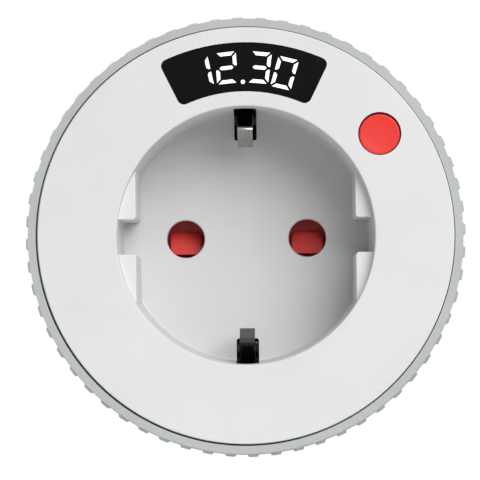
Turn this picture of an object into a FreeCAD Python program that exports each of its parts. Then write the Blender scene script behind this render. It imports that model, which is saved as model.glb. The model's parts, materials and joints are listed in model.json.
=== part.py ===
import FreeCAD, Part
import math
import os

from FreeCAD import Vector

# Round plug in timer switch. Lengths in millimetres, angles in degrees.
# Frame: +Z is up and +X right as seen from the front, the front faces -Y and the plug pins
# point along +Y. The origin lies midway between the plug pins, on the plug's engagement face.

# Plug pins and the outlet standard they follow
pin_spacing = 19.0
pin_dia = 4.8
pin_length = 19.0
pin_seat_dia = 5.2
pin_seat_gap = 0.02
pin_flange_dia = 6.0
pin_flange = 1.6
pin_tail_dia = 2.4
pin_tail = 2.0

# Overall depths
plug_depth = 18.0            # engagement face to the seat on the wall outlet
relay_height = 12.0          # the tallest part of the power board sets the depth
relay_gap = 1.5              # clears the plug body's flange

# Socket recess in the front
mouth_dia = 39.5
recess_depth = 17.5
recess_draft = 2.0
recess_floor = 2.0
cup_wall = 1.6
shoulder_x = 16.8            # centre to the guide flats, at the mouth
shoulder_draft = 1.0
shoulder_drop = 0.6          # shoulder tops below the front face
shoulder_slope = 1.1
notch_width = 5.3
notch_corner = 0.5
pin_hole_dia = 5.7
pin_hole_lead = 0.3
earth_slot_width = 3.5
earth_slot_reach = 4.55       # inwards from the recess mouth
earth_slot_front = 4.0       # below the front face
plug_play = 0.25             # recess to a plug of this standard

# Front disc, skirt and grip ring
face_width = 12.1            # recess mouth to the disc's edge
disc_edge = 0.45
cover_plate = 2.0
flange_lip = 1.05            # disc rim beyond the skirt
skirt_wall = 1.4
skirt_depth = 5.8
seam_gap = 0.25
ring_step = 0.3              # ring face below the disc face
ring_gap = 0.2               # running gap of the ring
ring_face = 1.0
ring_wall = 2.6              # journal bore to the foot of the ribs
ring_depth = 19.7
ring_shoulder = 0.35
ring_taper = 5.7
rib_count = 60
rib_height = 0.4
rib_share = 0.5              # rib width as a share of the pitch

# Gear teeth inside the ring and the encoder's pinion
ring_teeth = 100
pinion_teeth = 12
pressure_angle = 20.0
gear_face = 3.5
gear_seat = 1.0              # ring bore to the pitch circle
backlash = 0.12
ring_addendum = 0.6          # in modules
pinion_addendum = 1.0
pinion_dedendum = 0.85
ring_dedendum = 1.25
pinion_face = 3.0
encoder_angle = 180.0
encoder_size = 6.0
encoder_height = 3.2
encoder_shaft_dia = 2.0

# Rear housing
housing_wall = 2.0
rear_draft = 0.5
rear_round = 2.5
collar_depth = 3.4
plug_wall = 1.7
plug_end_wall = 1.8
plug_edge = 0.8
plug_flange_wall = 1.2
plug_flange_lip = 1.2
plug_seat_gap = 0.05
channel_width = 6.0
channel_depth = 2.14         # side contact channel in the plug body

# Screws and posts
screw_angles = (135.0, 225.0, 310.0)
screw_dia = 2.5
screw_head_dia = 4.8
screw_head = 2.0
screw_sink = 2.0
post_dia = 6.8
post_step = 0.8
boss_dia = 6.4
pilot_gap = 0.05

# Display window and button
window_rim = 2.35            # recess mouth to the window
window_half_angle = 25.3
window_corner = 1.0
lens_gap = 0.1
lens_flange = 0.8
lens_lip_angle = 1.2
lens_lip = 0.5
led_half_angle = 22.5
led_margin = 0.6
button_outset = 0.3          # beyond the middle of the rim between recess and skirt
button_angle = 36.6
button_dia = 5.9
button_gap = 0.3
button_sink = 0.2
button_edge = 0.35
button_flange = 0.8
button_flange_lip = 0.35
button_travel = 0.5
switch_size = 6.0
switch_height = 3.4
plunger_dia = 3.4
plunger_height = 0.8
plunger_depth = 1.1

# Boards and their parts
board_thickness = 1.6
board_gap = 0.4
display_board_depth = 8.0          # front face to the display board
fit_gap = 0.1
chip_size = 5.0
chip_height = 1.2
chip_angle = 245.0
link_pins = 5
link_pin_spacing = 2.0
link_pin_width = 0.6
link_body_height = 2.4
link_pin_reach = 1.5
part_inset = 1.2             # round parts lie inside the screw circle
part_edge = 0.5
relay_side_gap = 3.4         # relay's flat side to the housing wall
relay_corner_gap = 0.1       # relay corners to the housing wall
relay_offset = 1.0           # beyond the carrier's cut-out
film_width = 6.0
film_height = 11.0
film_length = 13.0
film_inset = 4.4             # inside the board's edge
can_dia = 8.0
can_height = 11.0
can_post_arc = 8.02          # along the part circle, from the upper left post
can_groove_depth = 0.3
can_groove_width = 0.8
can_groove_height = 1.2
varistor_dia = 9.0
varistor_thickness = 4.0
varistor_angle = 69.3
varistor_height = 1.2
varistor_lead_offset = 0.6
fuse_dia = 8.0
fuse_height = 7.5
fuse_angle = 289.4
battery_dia = 9.5
battery_height = 4.2
battery_arc = 7.7            # along the part circle, from the lowest point
battery_cap_dia = 5.7
battery_cap_height = 0.3
lead_dia = 0.6

# Safety shutter, its spring and the contact carrier
slide_gap = 0.3
shutter_depth = 5.9
shutter_half = 13.1
shutter_top = 3.4
shutter_low = 3.6
shutter_travel = 6.3
pad_top = 0.95
pad_slope = 2.6
pad_width = 5.0
pad_corner = 1.0
pad_rise = 0.6
tongue_half = 2.6
tongue_low = 5.6
spigot_dia = 1.7
spigot_length = 1.6
spring_coil_dia = 2.8
spring_wire = 0.4
spring_turns = 7.5
spring_seat = 16.4
carrier_wall = 1.2
carrier_plate = 1.6
tower_dia = 8.6
tower_bore = 7.0
tower_length = 11.4
foot_rib = 1.0
foot_rib_width = 3.0

# Contacts, conductors and earth parts
contact_dia = 4.8
contact_wall = 0.6
contact_length = 13.0
contact_slit = 2.0
contact_flare = 0.4
contact_flare_depth = 1.2
lug_width = 3.0
lug_thick = 0.8
strip_wall = 0.6
strip_width = 3.0
strip_level = 6.0            # centre to the conductors above and below the contacts
strip_bend = 0.8
strip_board_level = 12.6
earth_contact_width = 5.0
earth_contact_wall = 0.8
earth_contact_seat = 0.05
clip_width = 2.4
clip_wall = 0.6
clip_leg_gap = 0.25          # recess mouth to the clip's outer leg
clip_bend_inset = 2.85       # recess mouth to the bend
clip_tip_inset = 5.45        # recess mouth to the free end
clip_front = 4.9             # clip's bend below the front face
clip_tip = 12.6              # clip's free end below the front face
bridge_width = 3.8
bridge_wall = 0.8

# Edges found by place match within this
same_place = 0.0001

# Worked out from the values above
pin_x = pin_spacing / 2
seat_y = -plug_depth
body_depth = (recess_depth + recess_floor + fit_gap + board_thickness + relay_height
              + relay_gap + housing_wall)
front_y = seat_y - body_depth
plate_y = front_y + cover_plate
floor_y = front_y + recess_depth
floor_back_y = floor_y + recess_floor
mouth_radius = mouth_dia / 2
floor_radius = mouth_radius - recess_depth * math.tan(math.radians(recess_draft))
cup_radius = mouth_radius + cup_wall
shoulder_floor_x = shoulder_x - recess_depth * math.tan(math.radians(shoulder_draft))
disc_radius = mouth_radius + face_width
window_inner = mouth_radius + window_rim
earth_slot_inner = mouth_radius - earth_slot_reach
clip_leg = mouth_radius + clip_leg_gap
clip_bend_level = mouth_radius - clip_bend_inset
clip_tip_level = mouth_radius - clip_tip_inset
skirt_radius = disc_radius - flange_lip
skirt_inner = skirt_radius - skirt_wall
skirt_end_y = plate_y + skirt_depth
ring_bore = skirt_radius + ring_gap
ring_root = ring_bore + ring_wall
ring_tip = ring_root + rib_height
ring_front_y = front_y + ring_step
ring_back_y = ring_front_y + ring_depth
pitch_radius = ring_bore - gear_seat
gear_module = 2 * pitch_radius / ring_teeth
pinion_pitch = gear_module * pinion_teeth / 2
pinion_centre = pitch_radius - pinion_pitch
housing_front_y = ring_back_y + ring_step
housing_floor_y = seat_y - housing_wall
gear_back_y = housing_front_y - collar_depth - slide_gap - ring_step
gear_front_y = gear_back_y - gear_face
plug_radius = floor_radius - plug_play
channel_floor = plug_radius - channel_depth
plug_flat = shoulder_floor_x - plug_play
plug_rib = notch_width - 2 * plug_play
screw_circle = (cup_radius + skirt_inner) / 2
button_radius = screw_circle + button_outset
part_circle = screw_circle - part_inset
can_angle = screw_angles[0] - math.degrees(can_post_arc / part_circle)
battery_angle = 270 - math.degrees(battery_arc / part_circle)
board_y = front_y + display_board_depth
board_back_y = board_y + board_thickness
main_board_y = floor_back_y + fit_gap
main_board_back_y = main_board_y + board_thickness
shutter_front_y = floor_back_y + slide_gap
shutter_back_y = shutter_front_y + shutter_depth
carrier_plate_y = shutter_back_y + slide_gap
tower_y = carrier_plate_y + carrier_plate
tower_end_y = tower_y + tower_length
contact_y = tower_y + fit_gap
contact_end_y = contact_y + contact_length
carrier_half = shutter_half + slide_gap + carrier_wall
carrier_top = shutter_top + slide_gap + carrier_wall
carrier_low = shutter_low + shutter_travel + slide_gap + carrier_wall
relay_x = carrier_half + board_gap + relay_offset
relay_width = skirt_inner - relay_x - relay_side_gap
relay_corner_x = relay_x + relay_width - part_edge
relay_corner_radius = skirt_inner - relay_corner_gap - part_edge
relay_corner_z = math.sqrt(relay_corner_radius ** 2 - relay_corner_x ** 2)
relay_length = 2 * (relay_corner_z + part_edge)
channel_inner = tongue_half + slide_gap
pin_tail_y = -plug_end_wall - pin_flange - pin_tail


def box(x0, x1, y0, y1, z0, z1):
    return Part.makeBox(x1 - x0, y1 - y0, z1 - z0, Vector(x0, y0, z0))


def rod(dia, y0, y1, x=0.0, z=0.0):
    """Round bar along Y."""
    return Part.makeCylinder(dia / 2, y1 - y0, Vector(x, y0, z), Vector(0, 1, 0))


def tube(outer_dia, inner_dia, y0, y1, x=0.0, z=0.0):
    return rod(outer_dia, y0, y1, x, z).cut(rod(inner_dia, y0, y1, x, z))


def turned(points):
    """Solid turned about the Y axis from a closed outline of (radius, y) points."""
    corners = [Vector(r, y, 0) for r, y in points]
    face = Part.Face(Part.makePolygon(corners + corners[:1]))
    return face.revolve(Vector(0, 0, 0), Vector(0, 1, 0), 360)


def side_prism(points, x0, x1):
    """Solid drawn along X from a closed outline of (y, z) points."""
    corners = [Vector(x0, y, z) for y, z in points]
    face = Part.Face(Part.makePolygon(corners + corners[:1]))
    return face.extrude(Vector(x1 - x0, 0, 0))


def front_prism(points, y0, y1):
    """Solid drawn along Y from a closed outline of (x, z) points."""
    corners = [Vector(x, y0, z) for x, z in points]
    face = Part.Face(Part.makePolygon(corners + corners[:1]))
    return face.extrude(Vector(0, y1 - y0, 0))


def polar(radius, angle):
    """Place on the front at an angle, counter-clockwise from +X."""
    return radius * math.cos(math.radians(angle)), radius * math.sin(math.radians(angle))


def spun(shape, angle):
    """Copy turned counter-clockwise about the Y axis, as seen from the front."""
    copy = shape.copy()
    copy.rotate(Vector(0, 0, 0), Vector(0, 1, 0), -angle)
    return copy


def flipped(shape, side):
    """Copy for the lower side of the object: turned half round the Y axis."""
    return shape if side > 0 else spun(shape, 180)


def sector(inner, outer, half_angle, y0, y1, corner):
    """Curved bar round the top of the Y axis, with rounded corners seen from the front."""
    def at(radius, angle):
        x, z = polar(radius, 90 - angle)
        return Vector(x, y0, z)

    edges = [
        Part.Arc(at(outer, -half_angle), at(outer, 0), at(outer, half_angle)).toShape(),
        Part.makeLine(at(outer, half_angle), at(inner, half_angle)),
        Part.Arc(at(inner, half_angle), at(inner, 0), at(inner, -half_angle)).toShape(),
        Part.makeLine(at(inner, -half_angle), at(outer, -half_angle)),
    ]
    solid = Part.Face(Part.Wire(edges)).extrude(Vector(0, y1 - y0, 0))
    return round_along_y(solid, corner)


def round_along_y(solid, radius, where=lambda centre: True):
    """Rounds the straight edges that run along Y."""
    edges = []
    for edge in solid.Edges:
        start, end = edge.Vertexes[0].Point, edge.Vertexes[-1].Point
        straight = isinstance(edge.Curve, Part.Line)
        along = abs(start.x - end.x) < same_place and abs(start.z - end.z) < same_place
        if straight and along and where(edge.CenterOfMass):
            edges.append(edge)
    return solid.makeFillet(radius, edges)


def round_rim(solid, radius, rim_radius, rim_y):
    """Rounds the full circular edge of one radius at one depth."""
    edges = []
    for edge in solid.Edges:
        if isinstance(edge.Curve, Part.Circle):
            same_size = abs(edge.Curve.Radius - rim_radius) < same_place
            same_depth = abs(edge.Curve.Center.y - rim_y) < same_place
            if same_size and same_depth:
                edges.append(edge)
    return solid.makeFillet(radius, edges)


def bent_strip(points, bend, wall, x0, x1):
    """Sheet strip that follows (y, z) points with round bends, drawn from x0 to x1."""
    path = [Vector(0, y, z) for y, z in points]
    runs = [(b - a).normalize() for a, b in zip(path, path[1:])]
    sides = [Vector(0, -run.z, run.y) for run in runs]

    def offset_edges(offset):
        edges = []
        start = path[0] + sides[0] * offset
        for i in range(1, len(runs)):
            before, after = runs[i - 1], runs[i]
            turn = math.copysign(1.0, sides[i - 1].dot(after))
            angle = before.getAngle(after)
            reach = bend * math.tan(angle / 2)
            centre = path[i] - before * reach + sides[i - 1] * (turn * bend)
            radius = bend - turn * offset
            arc_in = centre - sides[i - 1] * (turn * radius)
            arc_out = centre - sides[i] * (turn * radius)
            middle = centre - (sides[i - 1] + sides[i]).normalize() * (turn * radius)
            edges.append(Part.makeLine(start, arc_in))
            edges.append(Part.Arc(arc_in, middle, arc_out).toShape())
            start = arc_out
        edges.append(Part.makeLine(start, path[-1] + sides[-1] * offset))
        return edges

    near = offset_edges(-wall / 2)
    far = offset_edges(wall / 2)
    ends = [
        Part.makeLine(path[0] + sides[0] * (wall / 2), path[0] - sides[0] * (wall / 2)),
        Part.makeLine(path[-1] + sides[-1] * (wall / 2), path[-1] - sides[-1] * (wall / 2)),
    ]
    outline = Part.Wire(Part.__sortEdges__(near + far + ends))
    strip = Part.Face(outline).extrude(Vector(x1 - x0, 0, 0))
    strip.translate(Vector(x0, 0, 0))
    return strip


def biarc(start, start_dir, end, end_dir):
    """Two arcs that leave start and reach end along the given directions."""
    chord = end - start
    along = chord.dot(start_dir + end_dir)
    spread = 2 * (1 - start_dir.dot(end_dir))
    span = chord.dot(chord)
    if spread < 1e-9:
        reach = span / (2 * along)
    else:
        reach = (-along + math.sqrt(along * along + spread * span)) / spread
    first = start + start_dir * reach
    last = end - end_dir * reach
    joint = (first + last) * 0.5
    edges = []
    for a, tangent, b in ((start, start_dir, joint), (end, end_dir * -1, joint)):
        half = (b - a) * 0.5
        across = tangent - half * (tangent.dot(half) / half.dot(half))
        bulge = half.Length * math.tan(half.getAngle(tangent) / 2)
        middle = a + half + across.normalize() * bulge
        edges.append(Part.Arc(a, middle, b).toShape())
    return edges[0], edges[1]


def coil_spring(coil_dia, wire_dia, turns, low, high, y):
    """Compression spring round a vertical axis, one tube from z low to z high."""
    radius = coil_dia / 2
    rise = (high - low - wire_dia) / turns
    slope = rise / (2 * math.pi)
    steps = int(turns * 4)

    def place(quarter):
        angle = quarter * math.pi / 2
        point = Vector(radius * math.cos(angle), y + radius * math.sin(angle),
                       low + wire_dia / 2 + slope * angle)
        heading = Vector(-radius * math.sin(angle), radius * math.cos(angle), slope)
        return point, heading.normalize()

    edges = []
    for quarter in range(steps):
        edges.extend(biarc(*place(quarter), *place(quarter + 1)))
    start, heading = place(0)
    section = Part.Wire(Part.Circle(start, heading, wire_dia / 2).toShape())
    print("spring gap between turns", round(rise - wire_dia, 3), "mm")
    return Part.Wire(edges).makePipeShell([section], True, False)


def involute(angle):
    return math.tan(angle) - angle


def tooth_half_angle(pitch, teeth, thinning, radius):
    """Half the angle of an involute tooth at a radius."""
    base = pitch * math.cos(math.radians(pressure_angle))
    at_pitch = math.pi / (2 * teeth) - thinning / (2 * pitch)
    at_radius = math.acos(min(1.0, base / radius))
    return at_pitch + involute(math.radians(pressure_angle)) - involute(at_radius)


def ring_gear_bore(y0, y1):
    """Toothed hole of the ring: each tooth space has the form of an involute tooth."""
    tip = pitch_radius - ring_addendum * gear_module
    root = pitch_radius + ring_dedendum * gear_module
    corners = []
    for tooth in range(ring_teeth):
        middle = 2 * math.pi * tooth / ring_teeth
        for radius, side in ((tip, -1), (root, -1), (root, 1), (tip, 1)):
            half = tooth_half_angle(pitch_radius, ring_teeth, -backlash, radius)
            angle = middle + side * half
            corners.append((radius * math.cos(angle), radius * math.sin(angle)))
    return front_prism(corners, y0, y1)


def pinion_gear(y0, y1):
    """Pinion on the Y axis with involute flanks and straight roots."""
    tip = pinion_pitch + pinion_addendum * gear_module
    root = pinion_pitch - pinion_dedendum * gear_module
    base = pinion_pitch * math.cos(math.radians(pressure_angle))

    def at(radius, angle):
        return Vector(radius * math.cos(angle), y0, radius * math.sin(angle))

    def half(radius):
        return tooth_half_angle(pinion_pitch, pinion_teeth, backlash, max(radius, base))

    edges = []
    pitch = 2 * math.pi / pinion_teeth
    for tooth in range(pinion_teeth):
        turn = tooth * pitch
        low_left, low_right = at(root, turn - half(base)), at(root, turn + half(base))
        base_left, base_right = at(base, turn - half(base)), at(base, turn + half(base))
        mid_left = at(pinion_pitch, turn - half(pinion_pitch))
        mid_right = at(pinion_pitch, turn + half(pinion_pitch))
        tip_left, tip_right = at(tip, turn - half(tip)), at(tip, turn + half(tip))
        edges.append(Part.makeLine(low_left, base_left))
        edges.append(Part.Arc(base_left, mid_left, tip_left).toShape())
        edges.append(Part.makeLine(tip_left, tip_right))
        edges.append(Part.Arc(tip_right, mid_right, base_right).toShape())
        edges.append(Part.makeLine(base_right, low_right))
        edges.append(Part.makeLine(low_right, at(root, turn + pitch - half(base))))
    return Part.Face(Part.Wire(edges)).extrude(Vector(0, y1 - y0, 0))


def recess_cone(extra):
    """Tapered space of the recess, grown by a little."""
    return turned([
        (0, front_y),
        (mouth_radius + extra, front_y),
        (floor_radius + extra, floor_y),
        (0, floor_y),
    ])


def guide_shoulders():
    """Side flats of the recess, each split by a notch."""
    reach = mouth_radius + cup_wall
    top_y = front_y + shoulder_drop
    outline = [
        (shoulder_floor_x, floor_y),
        (shoulder_x, top_y + shoulder_slope),
        (shoulder_x + shoulder_slope, top_y),
        (reach, top_y),
        (reach, floor_y),
    ]
    points = [Vector(x, y, -reach) for x, y in outline]
    block = Part.Face(Part.makePolygon(points + points[:1])).extrude(Vector(0, 0, 2 * reach))
    notch = box(0, reach, front_y, floor_y, -notch_width / 2, notch_width / 2)
    shoulder = block.common(recess_cone(cup_wall / 2)).cut(notch)
    corners = []
    for edge in shoulder.Edges:
        centre = edge.CenterOfMass
        beside_notch = abs(abs(centre.z) - notch_width / 2) < same_place
        if beside_notch and centre.x < shoulder_x and edge.Length > recess_depth / 2:
            corners.append(edge)
    shoulder = shoulder.makeFillet(notch_corner, corners)
    return shoulder, spun(shoulder, 180)


def make_front_cover():
    shell = turned([
        (mouth_radius + disc_edge, front_y),
        (disc_radius - disc_edge, front_y),
        (disc_radius - disc_edge * 0.3, front_y + disc_edge * 0.3),
        (disc_radius, front_y + disc_edge),
        (disc_radius, plate_y),
        (skirt_radius, plate_y),
        (skirt_radius, skirt_end_y),
        (skirt_inner, skirt_end_y),
        (skirt_inner, plate_y),
        (cup_radius, plate_y),
        (floor_radius + cup_wall, floor_back_y),
        (0, floor_back_y),
        (0, floor_y),
        (floor_radius, floor_y),
        (mouth_radius, front_y + disc_edge),
    ])
    cover = shell.fuse(list(guide_shoulders())).removeSplitter()
    window = sector(window_inner, skirt_inner, window_half_angle, front_y, plate_y, window_corner)
    button_x, button_z = polar(button_radius, button_angle)
    cuts = [window, rod(button_dia + 2 * button_gap, front_y, plate_y, button_x, button_z)]
    for x in (-pin_x, pin_x):
        hole = rod(pin_hole_dia, floor_y, floor_back_y, x)
        lead = Part.makeCone(pin_hole_dia / 2 + pin_hole_lead, pin_hole_dia / 2, pin_hole_lead,
                             Vector(x, floor_y, 0), Vector(0, 1, 0))
        cuts += [hole, lead]
    slot = box(-earth_slot_width / 2, earth_slot_width / 2, front_y + earth_slot_front,
               floor_back_y, earth_slot_inner, cup_radius)
    cuts += [slot, spun(slot, 180)]
    cover = cover.cut(cuts)
    bosses = []
    for angle in screw_angles:
        x, z = polar(screw_circle, angle)
        bosses.append(tube(boss_dia, screw_dia + 2 * pilot_gap, plate_y, board_y, x, z))
    return cover.fuse(bosses).removeSplitter()


def make_grip_ring():
    """Outer wall with grip ribs, bores for its two journals, and the gear teeth between them."""
    corners = []
    pitch = 360 / rib_count
    for rib in range(rib_count):
        middle = rib * pitch
        half = pitch * rib_share / 2
        corners.append(polar(ring_root, middle - half))
        corners.append(polar(ring_tip, middle - half * 0.85))
        corners.append(polar(ring_tip, middle + half * 0.85))
        corners.append(polar(ring_root, middle + half))
    wall = front_prism(corners, ring_front_y, ring_back_y)
    front_bore = disc_radius + seam_gap
    face_edge = front_bore + ring_face
    envelope = turned([
        (0, ring_front_y),
        (face_edge, ring_front_y),
        (face_edge + ring_shoulder, ring_front_y + ring_shoulder),
        (ring_tip, ring_front_y + ring_taper),
        (ring_tip, ring_back_y - ring_shoulder),
        (ring_tip - ring_shoulder, ring_back_y),
        (0, ring_back_y),
    ])
    step_y = plate_y + seam_gap
    ring = wall.common(envelope)
    return ring.cut([
        rod(2 * front_bore, ring_front_y, step_y),
        rod(2 * ring_bore, step_y, gear_front_y),
        ring_gear_bore(gear_front_y, gear_back_y),
        rod(2 * ring_bore, gear_back_y, ring_back_y),
    ])


def make_encoder_pinion():
    x, z = polar(pinion_centre, encoder_angle)
    shaft_start = board_back_y + fit_gap * 4
    gear_y = (gear_front_y + gear_back_y - pinion_face) / 2
    pinion = pinion_gear(gear_y, gear_y + pinion_face)
    pinion = pinion.fuse(rod(encoder_shaft_dia, shaft_start, gear_back_y + slide_gap))
    # a tooth space of the ring lies on the +X axis, so the pinion's tooth points away from centre
    turned_pinion = spun(pinion, encoder_angle)
    turned_pinion.translate(Vector(x, 0, z))
    return turned_pinion


def make_encoder_body():
    x, z = polar(pinion_centre, encoder_angle)
    half = encoder_size / 2
    body = box(x - half, x + half, board_back_y, board_back_y + encoder_height, z - half, z + half)
    body = round_along_y(body, part_edge)
    bore = rod(encoder_shaft_dia + 3 * fit_gap, board_back_y + 2 * fit_gap,
               board_back_y + encoder_height, x, z)
    return body.cut(bore)


def plug_section(radius, flat, rib, channel_half, channel_z, y0, y1):
    """Round plug body with side flats, a guide rib on each and a channel above and below."""
    body = rod(2 * radius, y0, y1).common(box(-flat, flat, y0, y1, -radius, radius))
    if rib > 0:
        guide = box(-radius, radius, y0, y1, -rib / 2, rib / 2)
        body = body.fuse(guide.common(rod(2 * radius, y0, y1)))
    channel = box(-channel_half, channel_half, y0, y1, channel_z, radius + plug_wall)
    return body.cut([channel, spun(channel, 180)])


def make_rear_housing():
    outer = ring_root - ring_gap
    slant = (seat_y - housing_front_y) * math.tan(math.radians(rear_draft))
    shell = turned([
        (skirt_inner, housing_front_y - collar_depth),
        (skirt_radius, housing_front_y - collar_depth),
        (skirt_radius, housing_front_y),
        (outer, housing_front_y),
        (outer - slant, seat_y),
        (0, seat_y),
        (0, housing_floor_y),
        (skirt_inner, housing_floor_y),
    ])
    shell = round_rim(shell, rear_round, outer - slant, seat_y)
    contact_top = channel_floor + earth_contact_seat + earth_contact_wall
    opening = plug_section(plug_radius + plug_seat_gap, plug_flat + plug_seat_gap,
                           plug_rib + 2 * plug_seat_gap, channel_width / 2 - plug_seat_gap,
                           contact_top + fit_gap, housing_floor_y, seat_y)
    posts = []
    cuts = [opening]
    for angle in screw_angles:
        x, z = polar(screw_circle, angle)
        posts.append(rod(post_dia, board_back_y, seat_y, x, z))
        posts.append(rod(post_dia + 2 * post_step, main_board_back_y, seat_y, x, z))
        head_y = seat_y - screw_sink - screw_head
        cuts.append(rod(screw_dia + 4 * pilot_gap, board_back_y, head_y, x, z))
        cuts.append(rod(screw_head_dia + 2 * fit_gap, head_y, seat_y, x, z))
    return shell.fuse(posts).cut(cuts).removeSplitter()


def make_plug_body():
    """Hollow plug moulding, held by its flange behind the seat wall."""
    flange_y = housing_floor_y - plug_flange_wall
    flange_radius = plug_radius + plug_flange_lip
    block = plug_section(plug_radius, plug_flat, plug_rib, channel_width / 2, channel_floor,
                         housing_floor_y, 0)
    envelope = turned([
        (0, housing_floor_y),
        (plug_radius, housing_floor_y),
        (plug_radius, -plug_edge),
        (plug_radius - plug_edge, 0),
        (0, 0),
    ])
    flange = plug_section(flange_radius, flange_radius, 0, channel_width / 2, channel_floor,
                          flange_y, housing_floor_y)
    hollow = plug_section(plug_radius - plug_wall, plug_flat - plug_wall, 0,
                          channel_width / 2 + plug_wall, channel_floor - plug_wall,
                          flange_y, -plug_end_wall)
    bore_dia = pin_seat_dia + 2 * pin_seat_gap
    bores = [rod(bore_dia, -plug_end_wall, 0, x) for x in (-pin_x, pin_x)]
    return block.common(envelope).fuse(flange).cut([hollow] + bores).removeSplitter()


def make_screws():
    screws = []
    head_back = seat_y - screw_sink
    head_front = head_back - screw_head
    for angle in screw_angles:
        x, z = polar(screw_circle, angle)
        head = rod(screw_head_dia, head_front, head_back, x, z)
        head = head.cut(rod(screw_head_dia / 2, head_back - screw_head / 2, head_back, x, z))
        screws.append(head.fuse(rod(screw_dia, plate_y + fit_gap, head_front, x, z)))
    return Part.makeCompound(screws)


def make_lens():
    front = sector(window_inner + lens_gap, skirt_inner - lens_gap,
                   window_half_angle - math.degrees(lens_gap / window_inner), front_y, plate_y,
                   window_corner)
    flange = sector(window_inner - lens_lip, skirt_inner - lens_gap,
                    window_half_angle + lens_lip_angle, plate_y, plate_y + lens_flange, window_corner)
    return front.fuse(flange).removeSplitter()


def make_led_display():
    return sector(window_inner + led_margin, skirt_inner - led_margin, led_half_angle,
                  plate_y + lens_flange + fit_gap, board_y, led_margin)


def make_display_board():
    ring = tube(2 * (skirt_inner - board_gap), 2 * (cup_radius + board_gap), board_y, board_back_y)
    holes = []
    for angle in screw_angles:
        x, z = polar(screw_circle, angle)
        holes.append(rod(screw_dia + 4 * pilot_gap, board_y, board_back_y, x, z))
    holes += link_holes(board_y, board_back_y)
    return ring.cut(holes)


def make_controller_chip():
    x, z = polar(screw_circle, chip_angle)
    half = chip_size / 2
    chip = box(x - half, x + half, board_back_y, board_back_y + chip_height, z - half, z + half)
    return spun_about(chip, chip_angle, x, z)


def spun_about(shape, angle, x, z):
    """Turns a shape counter-clockwise about a line along Y through (x, z)."""
    shape.rotate(Vector(x, 0, z), Vector(0, 1, 0), -angle)
    return shape


def make_button_switch():
    x, z = polar(button_radius, button_angle)
    half = switch_size / 2
    front = board_y - switch_height
    body = box(x - half, x + half, front, board_y, z - half, z + half)
    body = round_along_y(body, part_edge)
    pocket = rod(plunger_dia + 2 * fit_gap, front,
                 front + plunger_depth + button_travel + 2 * fit_gap, x, z)
    return spun_about(body.cut(pocket), button_angle, x, z)


def make_button_plunger():
    x, z = polar(button_radius, button_angle)
    front = board_y - switch_height
    return rod(plunger_dia, front - plunger_height, front + plunger_depth, x, z)


def make_button_cap():
    x, z = polar(button_radius, button_angle)
    front = front_y + button_sink
    flange_y = plate_y + fit_gap
    cap = rod(button_dia, front, flange_y + button_flange, x, z)
    rim = []
    for edge in cap.Edges:
        if isinstance(edge.Curve, Part.Circle) and abs(edge.Curve.Center.y - front) < same_place:
            rim.append(edge)
    cap = cap.makeFillet(button_edge, rim)
    flange = rod(button_dia + 2 * (button_gap + button_flange_lip), flange_y,
                 flange_y + button_flange, x, z)
    stem = rod(plunger_dia, flange_y, board_y - switch_height - plunger_height, x, z)
    return cap.fuse([flange, stem]).removeSplitter()


def link_spots():
    x_first = -link_pin_spacing * (link_pins - 1) / 2
    return [(x_first + i * link_pin_spacing, screw_circle) for i in range(link_pins)]


def link_holes(y0, y1):
    return [rod(link_pin_width * 1.5, y0, y1, x, z) for x, z in link_spots()]


def make_board_link():
    half_x = link_pin_spacing * link_pins / 2
    half_z = link_pin_spacing / 2
    body = box(-half_x, half_x, board_back_y, board_back_y + link_body_height,
               screw_circle - half_z, screw_circle + half_z)
    pins = []
    for x, z in link_spots():
        half = link_pin_width / 2
        pins.append(box(x - half, x + half, board_y, main_board_back_y + link_pin_reach,
                        z - half, z + half))
    return body.fuse(pins)


def make_main_board():
    edge = skirt_inner - board_gap
    sheet = rod(2 * edge, main_board_y, main_board_back_y)
    cut_half = carrier_half + board_gap
    cut_low = carrier_low + board_gap
    leg = clip_leg + clip_wall + board_gap
    leg_half = channel_inner + carrier_wall + board_gap
    cuts = [
        box(-cut_half, cut_half, main_board_y, main_board_back_y, -cut_low,
            carrier_top + board_gap),
        box(-leg_half, leg_half, main_board_y, main_board_back_y, -leg, leg),
    ]
    for angle in screw_angles:
        x, z = polar(screw_circle, angle)
        cuts.append(rod(post_dia + 2 * fit_gap, main_board_y, main_board_back_y, x, z))
    cuts += link_holes(main_board_y, main_board_back_y)
    strip_hole = strip_width / 2 + fit_gap
    strip_gap = strip_wall / 2 + fit_gap
    for x, z in ((pin_x, strip_board_level), (-pin_x, strip_board_level),
                 (pin_x, -strip_board_level)):
        cuts.append(box(x - strip_hole, x + strip_hole, main_board_y, main_board_back_y,
                        z - strip_gap, z + strip_gap))
    return sheet.cut(cuts)


def make_relay():
    relay = box(relay_x, relay_x + relay_width, main_board_back_y,
                main_board_back_y + relay_height, -relay_length / 2, relay_length / 2)
    return relay.makeChamfer(part_edge, relay.Edges)


def make_film_capacitor():
    low_x = -(skirt_inner - film_inset)
    block = box(low_x, low_x + film_width, main_board_back_y, main_board_back_y + film_height,
                -film_length / 2, film_length / 2)
    return round_along_y(block, part_edge)


def make_electrolytic():
    x, z = polar(part_circle, can_angle)
    can = rod(can_dia, main_board_back_y, main_board_back_y + can_height, x, z)
    groove_y = main_board_back_y + can_groove_height
    groove = tube(can_dia, can_dia - 2 * can_groove_depth, groove_y, groove_y + can_groove_width,
                  x, z)
    return can.cut(groove)


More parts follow.
